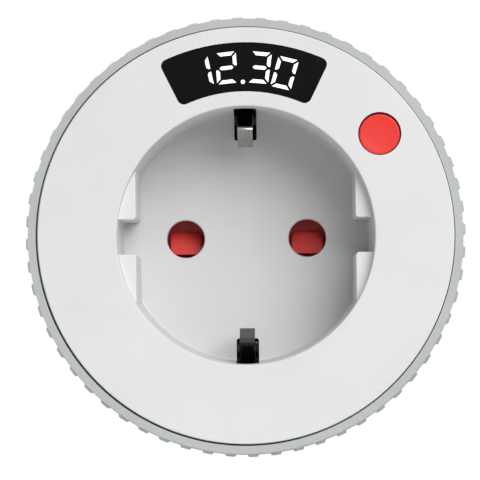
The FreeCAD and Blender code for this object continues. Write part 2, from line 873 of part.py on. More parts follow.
def make_varistor():
    x, z = polar(part_circle, varistor_angle)
    centre_y = main_board_back_y + varistor_height + varistor_dia / 2
    disc = Part.makeCylinder(varistor_dia / 2, varistor_thickness,
                             Vector(x, centre_y, z - varistor_thickness / 2), Vector(0, 0, 1))
    disc = disc.makeChamfer(varistor_thickness / 4, disc.Edges)
    leads = []
    for side in (-1, 1):
        leads.append(rod(lead_dia, main_board_back_y, centre_y, x + side * varistor_dia / 4,
                         z + side * varistor_lead_offset))
    return disc.fuse(leads)


def make_fuse():
    x, z = polar(part_circle, fuse_angle)
    fuse = rod(fuse_dia, main_board_back_y, main_board_back_y + fuse_height, x, z)
    return fuse.makeChamfer(part_edge, fuse.Edges)


def make_backup_battery():
    x, z = polar(part_circle, battery_angle)
    top_y = main_board_back_y + battery_height
    cell = rod(battery_dia, main_board_back_y, top_y, x, z)
    cell = cell.makeChamfer(part_edge, cell.Edges)
    return cell.fuse(rod(battery_cap_dia, main_board_back_y, top_y + battery_cap_height, x, z))


def make_shutter():
    """Slider with a ramp and a raised, round cornered pad behind each pin hole."""
    facet_y = shutter_front_y + pad_slope + pad_rise

    def ramp(front_shift):
        return [
            (shutter_front_y + front_shift, -shutter_low),
            (facet_y - pad_rise + front_shift, pad_top),
            (shutter_back_y - pad_rise, shutter_top),
            (shutter_back_y, shutter_top),
            (shutter_back_y, -shutter_low),
        ]

    wings = []
    for x in (-pin_x, pin_x):
        inner = pin_x - shutter_half
        wings.append(side_prism(ramp(pad_rise), x + inner, x - inner))
        pad = box(x - pad_width / 2, x + pad_width / 2, shutter_front_y, shutter_back_y,
                  -shutter_low, pad_top)
        pad = round_along_y(pad, pad_corner, lambda centre: centre.z > 0)
        wings.append(pad.common(side_prism(ramp(0), x - pad_width, x + pad_width)))
    middle_y = shutter_back_y - shutter_depth / 2
    middle = box(-pin_x, pin_x, middle_y, shutter_back_y, -shutter_low, shutter_top)
    tongue = box(-tongue_half, tongue_half, middle_y, shutter_back_y, -tongue_low, -shutter_low)
    spigot = Part.makeCylinder(spigot_dia / 2, spigot_length,
                               Vector(0, spring_y(), -tongue_low - spigot_length),
                               Vector(0, 0, 1))
    return middle.fuse(wings + [tongue, spigot]).removeSplitter()


def spring_y():
    return shutter_back_y - shutter_depth / 4 - spring_wire / 2


def make_contact_carrier():
    """Guide frame for the shutter, back plate, two contact towers and their feet."""
    frame = box(-carrier_half, carrier_half, floor_back_y, tower_y, -carrier_low, carrier_top)
    low_wall = channel_inner + carrier_wall
    spring_box = box(-low_wall, low_wall, floor_back_y, tower_y, -spring_seat - carrier_wall,
                     -carrier_low)
    slide_half = shutter_half + slide_gap
    slide_low = carrier_low - carrier_wall
    slideway = box(-slide_half, slide_half, floor_back_y, carrier_plate_y, -slide_low,
                   carrier_top - carrier_wall)
    channel = box(-channel_inner, channel_inner, floor_back_y, carrier_plate_y, -spring_seat,
                  -slide_low)
    towers = []
    bores = [slideway, channel]
    for x in (-pin_x, pin_x):
        towers.append(rod(tower_dia, tower_y, tower_end_y, x))
        foot_x = abs(x) - tower_dia / 2
        foot = box(foot_x, foot_x + foot_rib, tower_y, -plug_end_wall, -foot_rib_width / 2,
                   foot_rib_width / 2)
        towers.append(flipped(foot, x))
        bores.append(rod(tower_bore, tower_y, tower_end_y, x))
        bores.append(rod(pin_hole_dia, carrier_plate_y, tower_y, x))
    return frame.fuse([spring_box] + towers).cut(bores).removeSplitter()


def make_contact(side, lug_side):
    """Slit sleeve with a flared mouth and a lug that meets its conductor."""
    x = side * pin_x
    outer = contact_dia + 2 * contact_wall
    sleeve = tube(outer, contact_dia, contact_y + contact_flare_depth, contact_end_y, x)
    mouth = Part.makeCone(outer / 2 + contact_flare, outer / 2, contact_flare_depth,
                          Vector(x, contact_y, 0), Vector(0, 1, 0))
    mouth_bore = Part.makeCone(contact_dia / 2 + contact_flare, contact_dia / 2,
                               contact_flare_depth, Vector(x, contact_y, 0), Vector(0, 1, 0))
    slit_z = -lug_side * outer
    slit = box(x - contact_slit / 2, x + contact_slit / 2, contact_y, contact_end_y,
               min(0, slit_z), max(0, slit_z))
    lug_top = strip_level - strip_wall / 2
    lug_low = contact_dia / 2 + contact_wall / 2
    lug = box(x - lug_width / 2, x + lug_width / 2, contact_end_y - lug_thick, contact_end_y,
              min(lug_side * lug_low, lug_side * lug_top),
              max(lug_side * lug_low, lug_side * lug_top))
    return sleeve.fuse(mouth.cut(mouth_bore)).cut(slit).fuse(lug).removeSplitter()


def make_conductor(side):
    """Strip from a plug pin's tail over the contact and down to the power board."""
    half = strip_width / 2
    x = side * pin_x
    seat = -plug_end_wall - pin_flange - strip_wall / 2
    strip = bent_strip([
        (seat, -pin_flange_dia / 2),
        (seat, strip_level),
        (housing_floor_y - strip_width, strip_level),
        (housing_floor_y - strip_width, strip_board_level),
        (main_board_y, strip_board_level),
    ], strip_bend, strip_wall, x - half, x + half)
    return strip.cut(rod(pin_tail_dia, pin_tail_y, 0, x))


def make_load_strip():
    """Strip from the live contact's lug to the relay's side of the power board."""
    half = strip_width / 2
    return bent_strip([
        (contact_end_y, -strip_level),
        (housing_floor_y - strip_width, -strip_level),
        (housing_floor_y - strip_width, -strip_board_level),
        (main_board_y, -strip_board_level),
    ], strip_bend, strip_wall, pin_x - half, pin_x + half)


def make_plug_pin(side):
    x = side * pin_x
    pin = rod(pin_dia, 0, pin_length, x)
    tip = []
    for edge in pin.Edges:
        if isinstance(edge.Curve, Part.Circle) and edge.Curve.Center.y > pin_length / 2:
            tip.append(edge)
    pin = pin.makeFillet(pin_dia * 0.35, tip)
    flange_y = -plug_end_wall - pin_flange
    seat = rod(pin_seat_dia, -plug_end_wall, 0, x)
    flange = rod(pin_flange_dia, flange_y, -plug_end_wall, x)
    tail = rod(pin_tail_dia, pin_tail_y, flange_y, x)
    return pin.fuse([seat, flange, tail]).removeSplitter()


def make_earth_contact():
    """Side contact in the plug's channel, with a tail behind the seat wall."""
    half = earth_contact_width / 2
    level = channel_floor + earth_contact_seat + earth_contact_wall / 2
    tail_y = housing_floor_y - slide_gap - earth_contact_wall * 2
    return bent_strip([
        (-plug_end_wall, level),
        (tail_y, level),
        (tail_y, clip_leg + clip_wall / 2),
    ], earth_contact_wall, earth_contact_wall, -half, half)


def make_earth_clip():
    """Spring clip: foot on the earth contact, long outer leg, tight bend and inner leg."""
    half = clip_width / 2
    foot_y = housing_floor_y - slide_gap - earth_contact_wall * 2.5 - clip_wall / 2
    bend_y = front_y + clip_front
    tip_y = front_y + clip_tip
    return bent_strip([
        (foot_y, channel_floor + earth_contact_wall),
        (foot_y, clip_leg),
        (floor_back_y, clip_leg),
        (bend_y, clip_bend_level + clip_wall),
        (bend_y, clip_bend_level - clip_wall * 2),
        (tip_y, clip_tip_level),
    ], clip_wall, clip_wall, -half, half)


def make_earth_bridge():
    """Flat strap between the two earth sides, through the gap between the contact towers."""
    half = bridge_width / 2
    back_y = housing_floor_y - slide_gap - earth_contact_wall * 2.5 - clip_wall
    reach = clip_leg - clip_wall * 2.5
    strap = box(-half, half, back_y - bridge_wall, back_y, -reach, reach)
    return strap


nodes = {
    "front_cover": make_front_cover(),
    "grip_ring": make_grip_ring(),
    "display_lens": make_lens(),
    "led_display": make_led_display(),
    "display_board": make_display_board(),
    "controller_chip": make_controller_chip(),
    "button_cap": make_button_cap(),
    "button_plunger": make_button_plunger(),
    "button_switch": make_button_switch(),
    "encoder_body": make_encoder_body(),
    "encoder_pinion": make_encoder_pinion(),
    "board_link": make_board_link(),
    "main_board": make_main_board(),
    "relay": make_relay(),
    "film_capacitor": make_film_capacitor(),
    "electrolytic_capacitor": make_electrolytic(),
    "varistor": make_varistor(),
    "fuse": make_fuse(),
    "backup_battery": make_backup_battery(),
    "shutter": make_shutter(),
    "shutter_spring": coil_spring(spring_coil_dia, spring_wire, spring_turns, -spring_seat,
                                  -tongue_low, spring_y()),
    "contact_carrier": make_contact_carrier(),
    "live_contact": make_contact(1, -1),
    "neutral_contact": make_contact(-1, 1),
    "live_strip": make_conductor(1),
    "neutral_strip": make_conductor(-1),
    "load_strip": make_load_strip(),
    "live_pin": make_plug_pin(1),
    "neutral_pin": make_plug_pin(-1),
    "earth_contact_upper": make_earth_contact(),
    "earth_contact_lower": spun(make_earth_contact(), 180),
    "earth_clip_upper": make_earth_clip(),
    "earth_clip_lower": spun(make_earth_clip(), 180),
    "earth_bridge": make_earth_bridge(),
    "rear_housing": make_rear_housing(),
    "plug_body": make_plug_body(),
    "housing_screws": make_screws(),
}

os.makedirs("parts", exist_ok=True)
for name, shape in nodes.items():
    print(name, "solids", len(shape.Solids), "valid", shape.isValid(),
          "volume", round(shape.Volume, 1))
    shape.exportStep("parts/" + name + ".step")
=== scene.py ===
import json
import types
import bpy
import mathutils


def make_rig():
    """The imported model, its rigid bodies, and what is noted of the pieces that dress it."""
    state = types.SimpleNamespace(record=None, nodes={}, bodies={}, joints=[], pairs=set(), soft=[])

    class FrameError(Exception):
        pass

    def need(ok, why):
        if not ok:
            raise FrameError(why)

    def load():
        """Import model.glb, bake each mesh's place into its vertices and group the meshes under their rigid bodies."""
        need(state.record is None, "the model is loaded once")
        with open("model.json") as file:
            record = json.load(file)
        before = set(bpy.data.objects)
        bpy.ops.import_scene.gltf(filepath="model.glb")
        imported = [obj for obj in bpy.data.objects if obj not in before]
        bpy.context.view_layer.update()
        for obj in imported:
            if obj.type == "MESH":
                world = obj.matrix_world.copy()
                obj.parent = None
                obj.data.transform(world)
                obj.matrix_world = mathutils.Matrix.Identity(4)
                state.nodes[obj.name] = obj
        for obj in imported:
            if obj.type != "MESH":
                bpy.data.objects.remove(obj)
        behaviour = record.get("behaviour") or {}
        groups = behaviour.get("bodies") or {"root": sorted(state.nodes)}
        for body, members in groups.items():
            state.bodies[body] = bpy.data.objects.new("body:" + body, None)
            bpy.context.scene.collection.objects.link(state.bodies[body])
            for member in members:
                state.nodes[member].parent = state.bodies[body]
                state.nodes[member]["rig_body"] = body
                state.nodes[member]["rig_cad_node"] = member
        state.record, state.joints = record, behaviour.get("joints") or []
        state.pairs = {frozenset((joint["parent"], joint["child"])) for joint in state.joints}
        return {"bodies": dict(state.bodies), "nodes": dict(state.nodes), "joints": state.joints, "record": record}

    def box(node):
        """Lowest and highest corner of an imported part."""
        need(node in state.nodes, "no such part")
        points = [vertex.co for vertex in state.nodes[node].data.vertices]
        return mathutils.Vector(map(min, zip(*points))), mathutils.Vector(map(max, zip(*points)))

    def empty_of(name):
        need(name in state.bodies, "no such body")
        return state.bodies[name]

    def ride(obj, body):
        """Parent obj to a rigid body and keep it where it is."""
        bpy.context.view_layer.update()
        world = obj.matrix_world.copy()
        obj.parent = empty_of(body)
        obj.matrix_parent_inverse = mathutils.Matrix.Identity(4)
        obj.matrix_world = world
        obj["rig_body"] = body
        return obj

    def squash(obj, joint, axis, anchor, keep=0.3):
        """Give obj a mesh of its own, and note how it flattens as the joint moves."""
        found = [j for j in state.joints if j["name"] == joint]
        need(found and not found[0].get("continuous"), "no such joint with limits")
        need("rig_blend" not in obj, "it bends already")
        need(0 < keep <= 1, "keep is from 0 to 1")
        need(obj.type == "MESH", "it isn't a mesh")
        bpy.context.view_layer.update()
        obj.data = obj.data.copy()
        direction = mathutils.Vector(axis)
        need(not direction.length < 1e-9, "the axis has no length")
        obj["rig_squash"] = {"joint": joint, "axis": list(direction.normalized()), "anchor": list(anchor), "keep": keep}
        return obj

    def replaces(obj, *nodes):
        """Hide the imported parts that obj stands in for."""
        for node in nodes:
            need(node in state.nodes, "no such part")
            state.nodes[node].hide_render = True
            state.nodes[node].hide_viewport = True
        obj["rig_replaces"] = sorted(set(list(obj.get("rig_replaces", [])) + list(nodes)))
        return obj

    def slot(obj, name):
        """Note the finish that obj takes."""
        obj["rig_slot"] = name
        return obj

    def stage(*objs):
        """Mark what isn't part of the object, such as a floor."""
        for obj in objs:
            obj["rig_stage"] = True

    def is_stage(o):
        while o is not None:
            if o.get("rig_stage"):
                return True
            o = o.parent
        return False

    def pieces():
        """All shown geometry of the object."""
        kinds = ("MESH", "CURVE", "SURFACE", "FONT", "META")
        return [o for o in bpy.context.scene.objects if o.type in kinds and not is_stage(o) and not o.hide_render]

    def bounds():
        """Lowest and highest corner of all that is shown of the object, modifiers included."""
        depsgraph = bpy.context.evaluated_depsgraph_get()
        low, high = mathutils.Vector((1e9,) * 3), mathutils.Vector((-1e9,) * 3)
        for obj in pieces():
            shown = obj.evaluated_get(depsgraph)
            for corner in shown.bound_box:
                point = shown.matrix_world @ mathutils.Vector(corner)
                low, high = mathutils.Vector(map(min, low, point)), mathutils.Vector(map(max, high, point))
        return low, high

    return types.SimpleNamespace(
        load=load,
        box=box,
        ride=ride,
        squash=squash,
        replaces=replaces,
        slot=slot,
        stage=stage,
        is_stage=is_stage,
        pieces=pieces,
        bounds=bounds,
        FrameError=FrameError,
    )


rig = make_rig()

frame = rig.load()

import json
import math

import bpy
from mathutils import Matrix, Vector

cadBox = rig.bounds()
alongY = (0, 1, 0)
origin = (0, 0, 0)
near = 1e-6                  # closer than this counts as the same place
mergeGap = 0.0005            # mm, for points that an outline or a turn leaves double


def mm(*values):
    # millimetres to metres, one value or several
    return values[0] / 1000 if len(values) == 1 else tuple(v / 1000 for v in values)


def polar(radius, angle):
    # place on the front, angle counter-clockwise from +X
    return radius * math.cos(math.radians(angle)), radius * math.sin(math.radians(angle))


def boxOf(node):
    # low and high corner of a solid, in millimetres
    return [corner * 1000 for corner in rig.box(node)]


# Sizes that several pieces share, in millimetres
coverLow, coverHigh = boxOf("front_cover")
ringLow, ringHigh = boxOf("grip_ring")
coverWall = 2.0              # disc and floor of the recess
rearWall = 2.0
recessDepth = 17.5
pinX = 9.5
past = 1.0                   # cutters reach this far out of what they cut
discRadius = coverHigh.x
frontY = coverLow.y
plateY = frontY + coverWall  # back of the disc
floorY = frontY + recessDepth
floorBackY = floorY + coverWall
seatY = boxOf("rear_housing")[1].y
pinEndY = boxOf("live_pin")[1].y

# Working tools


def deselectAll():
    if bpy.context.mode == "EDIT_MESH":
        bpy.ops.object.mode_set(mode="OBJECT")
    bpy.ops.object.select_all(action="DESELECT")


def makeActive(piece):
    deselectAll()
    piece.select_set(True)
    bpy.context.view_layer.objects.active = piece


def editOf(piece, mode="VERT"):
    makeActive(piece)
    bpy.ops.object.mode_set(mode="EDIT")
    bpy.ops.mesh.select_mode(type=mode)


def endEdit():
    bpy.ops.object.mode_set(mode="OBJECT")


def selectAll(action="SELECT"):
    bpy.ops.mesh.select_all(action=action)


def selectWhere(piece, mode, wanted):
    # in edit mode, with only the points, edges or faces selected that pass the test
    editOf(piece, mode)
    selectAll("DESELECT")
    endEdit()
    kinds = {"VERT": piece.data.vertices, "EDGE": piece.data.edges, "FACE": piece.data.polygons}
    for part in kinds[mode]:
        part.select = bool(wanted(part))
    bpy.ops.object.mode_set(mode="EDIT")


def moveMesh(piece, x, y, z):
    editOf(piece)
    selectAll()
    bpy.ops.transform.translate(value=mm(x, y, z))
    endEdit()


def turnMesh(piece, angle):
    # degrees; with no window, a positive angle turns it counter-clockwise seen from the front
    editOf(piece)
    selectAll()
    bpy.ops.transform.rotate(value=math.radians(angle), orient_axis="Y", center_override=origin)
    endEdit()


def settle(name):
    # names the new primitive and puts its place, turn and scale into its mesh
    piece = bpy.context.object
    piece.name = name
    bpy.ops.object.transform_apply(location=True, rotation=True, scale=True)
    return piece


def startPoint(name, point):
    # a small plane merged to one point, from which an outline is pulled
    deselectAll()
    bpy.ops.mesh.primitive_plane_add(size=mm(1), location=mm(*point))
    piece = settle(name)
    editOf(piece)
    selectAll()
    bpy.ops.mesh.merge(type="CENTER")
    return piece


def pullAlong(points):
    # the last point is extruded from place to place
    for before, after in zip(points, points[1:]):
        step = mm(*(b - a for a, b in zip(before, after)))
        bpy.ops.mesh.extrude_region_move(TRANSFORM_OT_translate={"value": step})


def tidyMesh():
    selectAll()
    bpy.ops.mesh.remove_doubles(threshold=mm(mergeGap))
    bpy.ops.mesh.delete_loose(use_verts=True, use_edges=True, use_faces=False)
    selectAll()
    bpy.ops.mesh.normals_make_consistent(inside=False)


def turnOutline(name, outline, steps, centre=(0, 0)):
    # closed outline of (radius, y), spun about an axis along Y
    points = [(centre[0] + r, y, centre[1]) for r, y in outline]
    piece = startPoint(name, points[0])
    pullAlong(points + points[:1])
    selectAll()
    bpy.ops.mesh.remove_doubles(threshold=mm(mergeGap))
    selectAll()
    bpy.ops.mesh.spin(steps=steps, angle=math.tau, center=mm(centre[0], 0, centre[1]), axis=alongY)
    tidyMesh()
    endEdit()
    return piece


def plateFrom(name, points, pull):
    # closed flat outline of (x, y, z), filled and pulled to its thickness
    piece = startPoint(name, points[0])
    pullAlong(points)
    selectAll()
    bpy.ops.mesh.edge_face_add()
    bpy.ops.mesh.extrude_region_move(TRANSFORM_OT_translate={"value": mm(*pull)})
    tidyMesh()
    endEdit()
    return piece


def alongDepth(a, b):
    return abs(a.x - b.x) < near and abs(a.z - b.z) < near


def isEnd(point, halfAngle, slack=0.1):
    # whether a point leans from the top by the half angle, in degrees
    lean = abs(math.degrees(math.atan2(point.x, point.z)))
    return abs(lean - halfAngle) < slack


def onCircle(radius, y, x=0.0, z=0.0):
    # test for the edges of a circle about an axis along Y
    def test(a, b):
        return all(abs(math.hypot(p.x - mm(x), p.z - mm(z)) - mm(radius)) < near
                   and abs(p.y - mm(y)) < near for p in (a, b))
    return test


def curvedBar(name, inner, outer, halfAngle, y0, y1, corner, steps=18):
    # bar that follows the top of the disc, its four corners rounded
    x, z = polar(inner, 90 + halfAngle)
    farX, farZ = polar(outer, 90 + halfAngle)
    piece = startPoint(name, (x, y0, z))
    pullAlong([(x, y0, z), (farX, y0, farZ)])
    selectAll()
    bpy.ops.mesh.spin(steps=steps, angle=-math.radians(2 * halfAngle), center=origin,
                      axis=alongY)
    selectAll()
    bpy.ops.mesh.remove_doubles(threshold=mm(mergeGap))
    selectAll()
    bpy.ops.mesh.extrude_region_move(TRANSFORM_OT_translate={"value": mm(0, y1 - y0, 0)})
    tidyMesh()
    endEdit()
    if corner:
        bevelWhere(piece, corner, 6, lambda a, b: alongDepth(a, b) and isEnd(a, halfAngle))
    return piece


def bevelWhere(piece, width, segments, wanted):
    # bevels the edges whose two ends pass the test
    selectWhere(piece, "EDGE",
                lambda edge: wanted(*(piece.data.vertices[i].co for i in edge.vertices)))
    bpy.ops.mesh.bevel(offset=mm(width), segments=segments, affect="EDGES", clamp_overlap=True)
    endEdit()


def bevelAll(piece, width, segments=2, angle=40):
    makeActive(piece)
    bevel = piece.modifiers.new("bevel", "BEVEL")
    bevel.width = mm(width)
    bevel.segments = segments
    bevel.limit_method = "ANGLE"
    bevel.angle_limit = math.radians(angle)
    bevel.use_clamp_overlap = True
    bpy.ops.object.modifier_apply(modifier=bevel.name)


def combine(piece, other, operation):
    # exact boolean, after which the other piece is gone
    makeActive(piece)
    tool = piece.modifiers.new(operation.lower(), "BOOLEAN")
    tool.operation = operation
    tool.solver = "EXACT"
    tool.object = other
    bpy.ops.object.modifier_apply(modifier=tool.name)
    bpy.data.objects.remove(other, do_unlink=True)


def cutAway(piece, *others):
    for other in others:
        combine(piece, other, "DIFFERENCE")


def addOn(piece, *others):
    for other in others:
        combine(piece, other, "UNION")


def rodAt(name, dia, y0, y1, x=0.0, z=0.0, steps=64):
    # round rod along Y
    deselectAll()
    bpy.ops.mesh.primitive_cylinder_add(vertices=steps, radius=mm(dia / 2), depth=mm(y1 - y0),
                                        location=mm(x, (y0 + y1) / 2, z),
                                        rotation=(math.pi / 2, 0, 0))
    return settle(name)


def uprightRod(name, dia, z0, z1, y=0.0, steps=64):
    deselectAll()
    bpy.ops.mesh.primitive_cylinder_add(vertices=steps, radius=mm(dia / 2), depth=mm(z1 - z0),
                                        location=mm(0, y, (z0 + z1) / 2))
    return settle(name)


def blockAt(name, low, high):
    deselectAll()
    middle = [(a + b) / 2 for a, b in zip(low, high)]
    bpy.ops.mesh.primitive_cube_add(size=1, location=mm(*middle))
    bpy.context.object.scale = mm(*(b - a for a, b in zip(low, high)))
    return settle(name)


def copyTurned(piece, name, angle):
    # copy with its own mesh, turned about the object's axis
    copy = piece.copy()
    copy.data = piece.data.copy()
    copy.name = name
    bpy.context.scene.collection.objects.link(copy)
    turnMesh(copy, angle)
    return copy


def joinAll(pieces):
    deselectAll()
    for piece in pieces:
        piece.select_set(True)
    bpy.context.view_layer.objects.active = pieces[0]
    bpy.ops.object.join()
    return pieces[0]


def smoothOut(piece, angle=38):
    makeActive(piece)
    bpy.ops.object.shade_smooth_by_angle(angle=math.radians(angle))
    weighted = piece.modifiers.new("weighted", "WEIGHTED_NORMAL")
    weighted.keep_sharp = True
    weighted.weight = 80
    bpy.ops.object.modifier_apply(modifier=weighted.name)


def finishPiece(piece, body, slot, *nodes, finish=None, smooth=38):
    # material, moving body, slot and the solids that the piece stands for
    piece.data.materials.clear()
    piece.data.materials.append(finish or finishes[slot])
    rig.ride(piece, body)
    if nodes:
        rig.replaces(piece, *nodes)
    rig.slot(piece, slot)
    if smooth:
        smoothOut(piece, smooth)


# Colours and materials


def linearColor(hexText):
    # #RRGGBB in sRGB to the linear values that the shader takes
    values = []
    for start in (1, 3, 5):
        part = int(hexText[start:start + 2], 16) / 255
        values.append(part / 12.92 if part <= 0.04045 else ((part + 0.055) / 1.055) ** 2.4)
    return (values[0], values[1], values[2], 1.0)


def addNode(material, kind, settings=None, links=None):
    # one node, its settings or input values, and the sockets that feed it
    node = material.node_tree.nodes.new(kind)
    for name, value in (settings or {}).items():
        if isinstance(name, int) or name in node.inputs:
            node.inputs[name].default_value = value
        else:
            setattr(node, name, value)
    for name, socket in (links or {}).items():
        material.node_tree.links.new(socket, node.inputs[name])
    return node


def perMetre(sizeInMm):
    # pattern scale that gives features of about this size on Object coordinates
    return 1000 / sizeInMm


def newFinish(name, settings):
    material = bpy.data.materials.new(name)
    material.use_nodes = True
    shader = material.node_tree.nodes["Principled BSDF"]
    for socket, value in settings.items():
        shader.inputs[socket].default_value = value
    place = addNode(material, "ShaderNodeTexCoord")
    return material, shader, place.outputs["Object"]


def grainBump(material, shader, place, grain, height, detail=2.0):
    # fine texture of the mould or sheet: grain size and height in mm
    grains = addNode(material, "ShaderNodeTexNoise",
                     {"Scale": perMetre(grain), "Detail": detail, "Roughness": 0.6},
                     {"Vector": place})
    bump = addNode(material, "ShaderNodeBump", {"Strength": 1.0, "Distance": mm(height)},
                   {"Height": grains.outputs["Fac"]})
    material.node_tree.links.new(bump.outputs["Normal"], shader.inputs["Normal"])
    return grains


def tintVariation(material, shader, place, dark, light, size):
    # slow change of colour between two near shades, size in mm
    patches = addNode(material, "ShaderNodeTexNoise",
                      {"Scale": perMetre(size), "Detail": 3.0, "Roughness": 0.55},
                      {"Vector": place})
    ramp = addNode(material, "ShaderNodeValToRGB", links={"Fac": patches.outputs["Fac"]})
    ramp.color_ramp.elements[0].position = 0.3
    ramp.color_ramp.elements[0].color = linearColor(dark)
    ramp.color_ramp.elements[1].position = 0.7
    ramp.color_ramp.elements[1].color = linearColor(light)
    material.node_tree.links.new(ramp.outputs["Color"], shader.inputs["Base Color"])


def roughVariation(material, shader, place, low, high, size):
    patches = addNode(material, "ShaderNodeTexNoise", {"Scale": perMetre(size), "Detail": 4.0},
                      {"Vector": place})
    spread = addNode(material, "ShaderNodeMapRange", {"To Min": low, "To Max": high},
                     {"Value": patches.outputs["Fac"]})
    material.node_tree.links.new(spread.outputs["Result"], shader.inputs["Roughness"])


def mouldedPlastic(name, dark, light, roughness, grain=0.35, height=0.004, ior=1.53):
    # ABS or polyamide from a spark-eroded mould: even colour and a satin grain, which is finer than
    # 0.1 mm on the real piece and drawn coarser so that it shows
    material, shader, place = newFinish(name, {"IOR": ior, "Specular IOR Level": 0.35})
    tintVariation(material, shader, place, dark, light, size=14)
    roughVariation(material, shader, place, roughness - 0.05, roughness + 0.05, size=5)
    grainBump(material, shader, place, grain, height)
    return material


def recessedPlastic(name, dark, light, roughness, deep, start, end):
    # the same moulding, its colour falling to a share of itself from start to end along Y, in mm:
    # a painted shade, because the recess is darker in the photo than the lamps leave it
    material = mouldedPlastic(name, dark, light, roughness)
    shader = material.node_tree.nodes["Principled BSDF"]
    place = material.node_tree.nodes["Texture Coordinate"].outputs["Object"]
    colour = shader.inputs["Base Color"].links[0].from_socket
    axes = addNode(material, "ShaderNodeSeparateXYZ", links={"Vector": place})
    depth = addNode(material, "ShaderNodeMapRange",
                    {"From Min": mm(start), "From Max": mm(end), "To Min": 1.0, "To Max": deep},
                    {"Value": axes.outputs["Y"]})
    shaded = addNode(material, "ShaderNodeVectorMath", {"operation": "SCALE"},
                     {"Vector": colour, "Scale": depth.outputs["Result"]})
    material.node_tree.links.new(shaded.outputs["Vector"], shader.inputs["Base Color"])
    return material


def polishedAcrylic(name, dark, light):
    # tinted acrylic window, polished mould: flat black gloss with faint flow lines
    material, shader, place = newFinish(name, {"IOR": 1.49, "Specular IOR Level": 0.09})
    tintVariation(material, shader, place, dark, light, size=9)
    roughVariation(material, shader, place, low=0.10, high=0.18, size=6)
    grainBump(material, shader, place, grain=6.0, height=0.0006)
    return material


def litSegment(name, shade):
    # light guide of a white LED segment: even glow, slightly milky
    material, shader, place = newFinish(name, {"Roughness": 0.5, "Emission Strength": 0.72})
    shader.inputs["Emission Color"].default_value = linearColor(shade)
    tintVariation(material, shader, place, "#D8D8D6", "#E6E6E4", size=1.5)
    return material


def drawnMetal(name, dark, light, roughness, streak=0.25):
    # nickelled or bare sheet and wire: drawing lines along its length, also finer than 0.1 mm on
    # the real piece and drawn coarser
    material, shader, place = newFinish(name, {"Metallic": 1.0})
    squeezed = addNode(material, "ShaderNodeMapping", {"Scale": (1.0, 0.08, 0.08)},
                       {"Vector": place})
    lines = addNode(material, "ShaderNodeTexNoise",
                    {"Scale": perMetre(streak), "Detail": 4.0, "Roughness": 0.65},
                    {"Vector": squeezed.outputs["Vector"]})
    ramp = addNode(material, "ShaderNodeValToRGB", links={"Fac": lines.outputs["Fac"]})
    ramp.color_ramp.elements[0].position = 0.35
    ramp.color_ramp.elements[0].color = linearColor(dark)
    ramp.color_ramp.elements[1].position = 0.68
    ramp.color_ramp.elements[1].color = linearColor(light)
    material.node_tree.links.new(ramp.outputs["Color"], shader.inputs["Base Color"])
    spread = addNode(material, "ShaderNodeMapRange",
                     {"To Min": roughness - 0.08, "To Max": roughness + 0.08},
                     {"Value": lines.outputs["Fac"]})
    material.node_tree.links.new(spread.outputs["Result"], shader.inputs["Roughness"])
    bump = addNode(material, "ShaderNodeBump", {"Strength": 1.0, "Distance": mm(0.003)},
                   {"Height": lines.outputs["Fac"]})
    material.node_tree.links.new(bump.outputs["Normal"], shader.inputs["Normal"])
    return material


def solderMask(name, dark, light):
    # glass-epoxy board under solder mask: a weave of about 0.5 mm, drawn coarser, just felt under
    # a satin lacquer
    material, shader, place = newFinish(name, {"IOR": 1.55, "Roughness": 0.35})
    weave = addNode(material, "ShaderNodeTexWave",
                    {"Scale": perMetre(3.0), "Distortion": 2.0, "bands_direction": "DIAGONAL"},
                    {"Vector": place})
    ramp = addNode(material, "ShaderNodeValToRGB", links={"Fac": weave.outputs["Fac"]})
    ramp.color_ramp.elements[0].color = linearColor(dark)
    ramp.color_ramp.elements[1].color = linearColor(light)
    material.node_tree.links.new(ramp.outputs["Color"], shader.inputs["Base Color"])
    grainBump(material, shader, place, grain=0.5, height=0.006)
    return material


finishes = {
    "white_shell": mouldedPlastic("white_abs_satin", "#DFDFDF", "#E4E4E4", 0.50),
    "grey_ring": mouldedPlastic("grey_abs_satin", "#B4B9B7", "#BCC1BF", 0.46),
    "tinted_window": polishedAcrylic("tinted_acrylic", "#060606", "#0A0A0A"),
    "red_button": mouldedPlastic("red_abs_satin", "#E62C26", "#EC352F", 0.40, 0.3, 0.002),
    "red_shutter": mouldedPlastic("red_acetal", "#D2332D", "#DC3C36", 0.34, 0.5, 0.003, 1.48),
    "black_module": mouldedPlastic("black_led_housing", "#141414", "#1C1C1C", 0.55),
    "green_board": solderMask("green_solder_mask", "#0C2A18", "#12371F"),
    "black_plastic": mouldedPlastic("black_polyamide", "#121212", "#1B1B1B", 0.48),
    "natural_nylon": mouldedPlastic("natural_polyamide", "#9C9A92", "#A8A69E", 0.55),
    "spring_steel": drawnMetal("nickelled_spring_steel", "#90908E", "#B2B2B0", 0.19),
    "contact_brass": drawnMetal("rolled_brass", "#6E5A30", "#8C7443", 0.45),
    "pin_nickel": drawnMetal("nickelled_brass_pin", "#B4B1A8", "#D2CFC6", 0.22),
    "relay_case": mouldedPlastic("relay_case_black", "#17191C", "#202226", 0.42),
    "film_case": mouldedPlastic("film_capacitor_case", "#C8B23A", "#D2BD46", 0.45),
    "can_sleeve": mouldedPlastic("capacitor_sleeve", "#1D2430", "#27303E", 0.35),
    "varistor_coat": mouldedPlastic("varistor_epoxy", "#1F4F8C", "#2A5D9C", 0.40),
    "fuse_case": mouldedPlastic("fuse_case", "#8E2A22", "#9B352B", 0.42),
    "cell_steel": drawnMetal("nickelled_cell", "#9E9E9C", "#C2C2C0", 0.26),
    "screw_steel": drawnMetal("zinc_plated_steel", "#8A8C8E", "#AEB0B2", 0.30),
}
litFinish = litSegment("white_led_segment", "#FFFFFF")
cupShade = {"share": 0.86, "start": 2.5, "end": 15.0}        # mm behind the front face
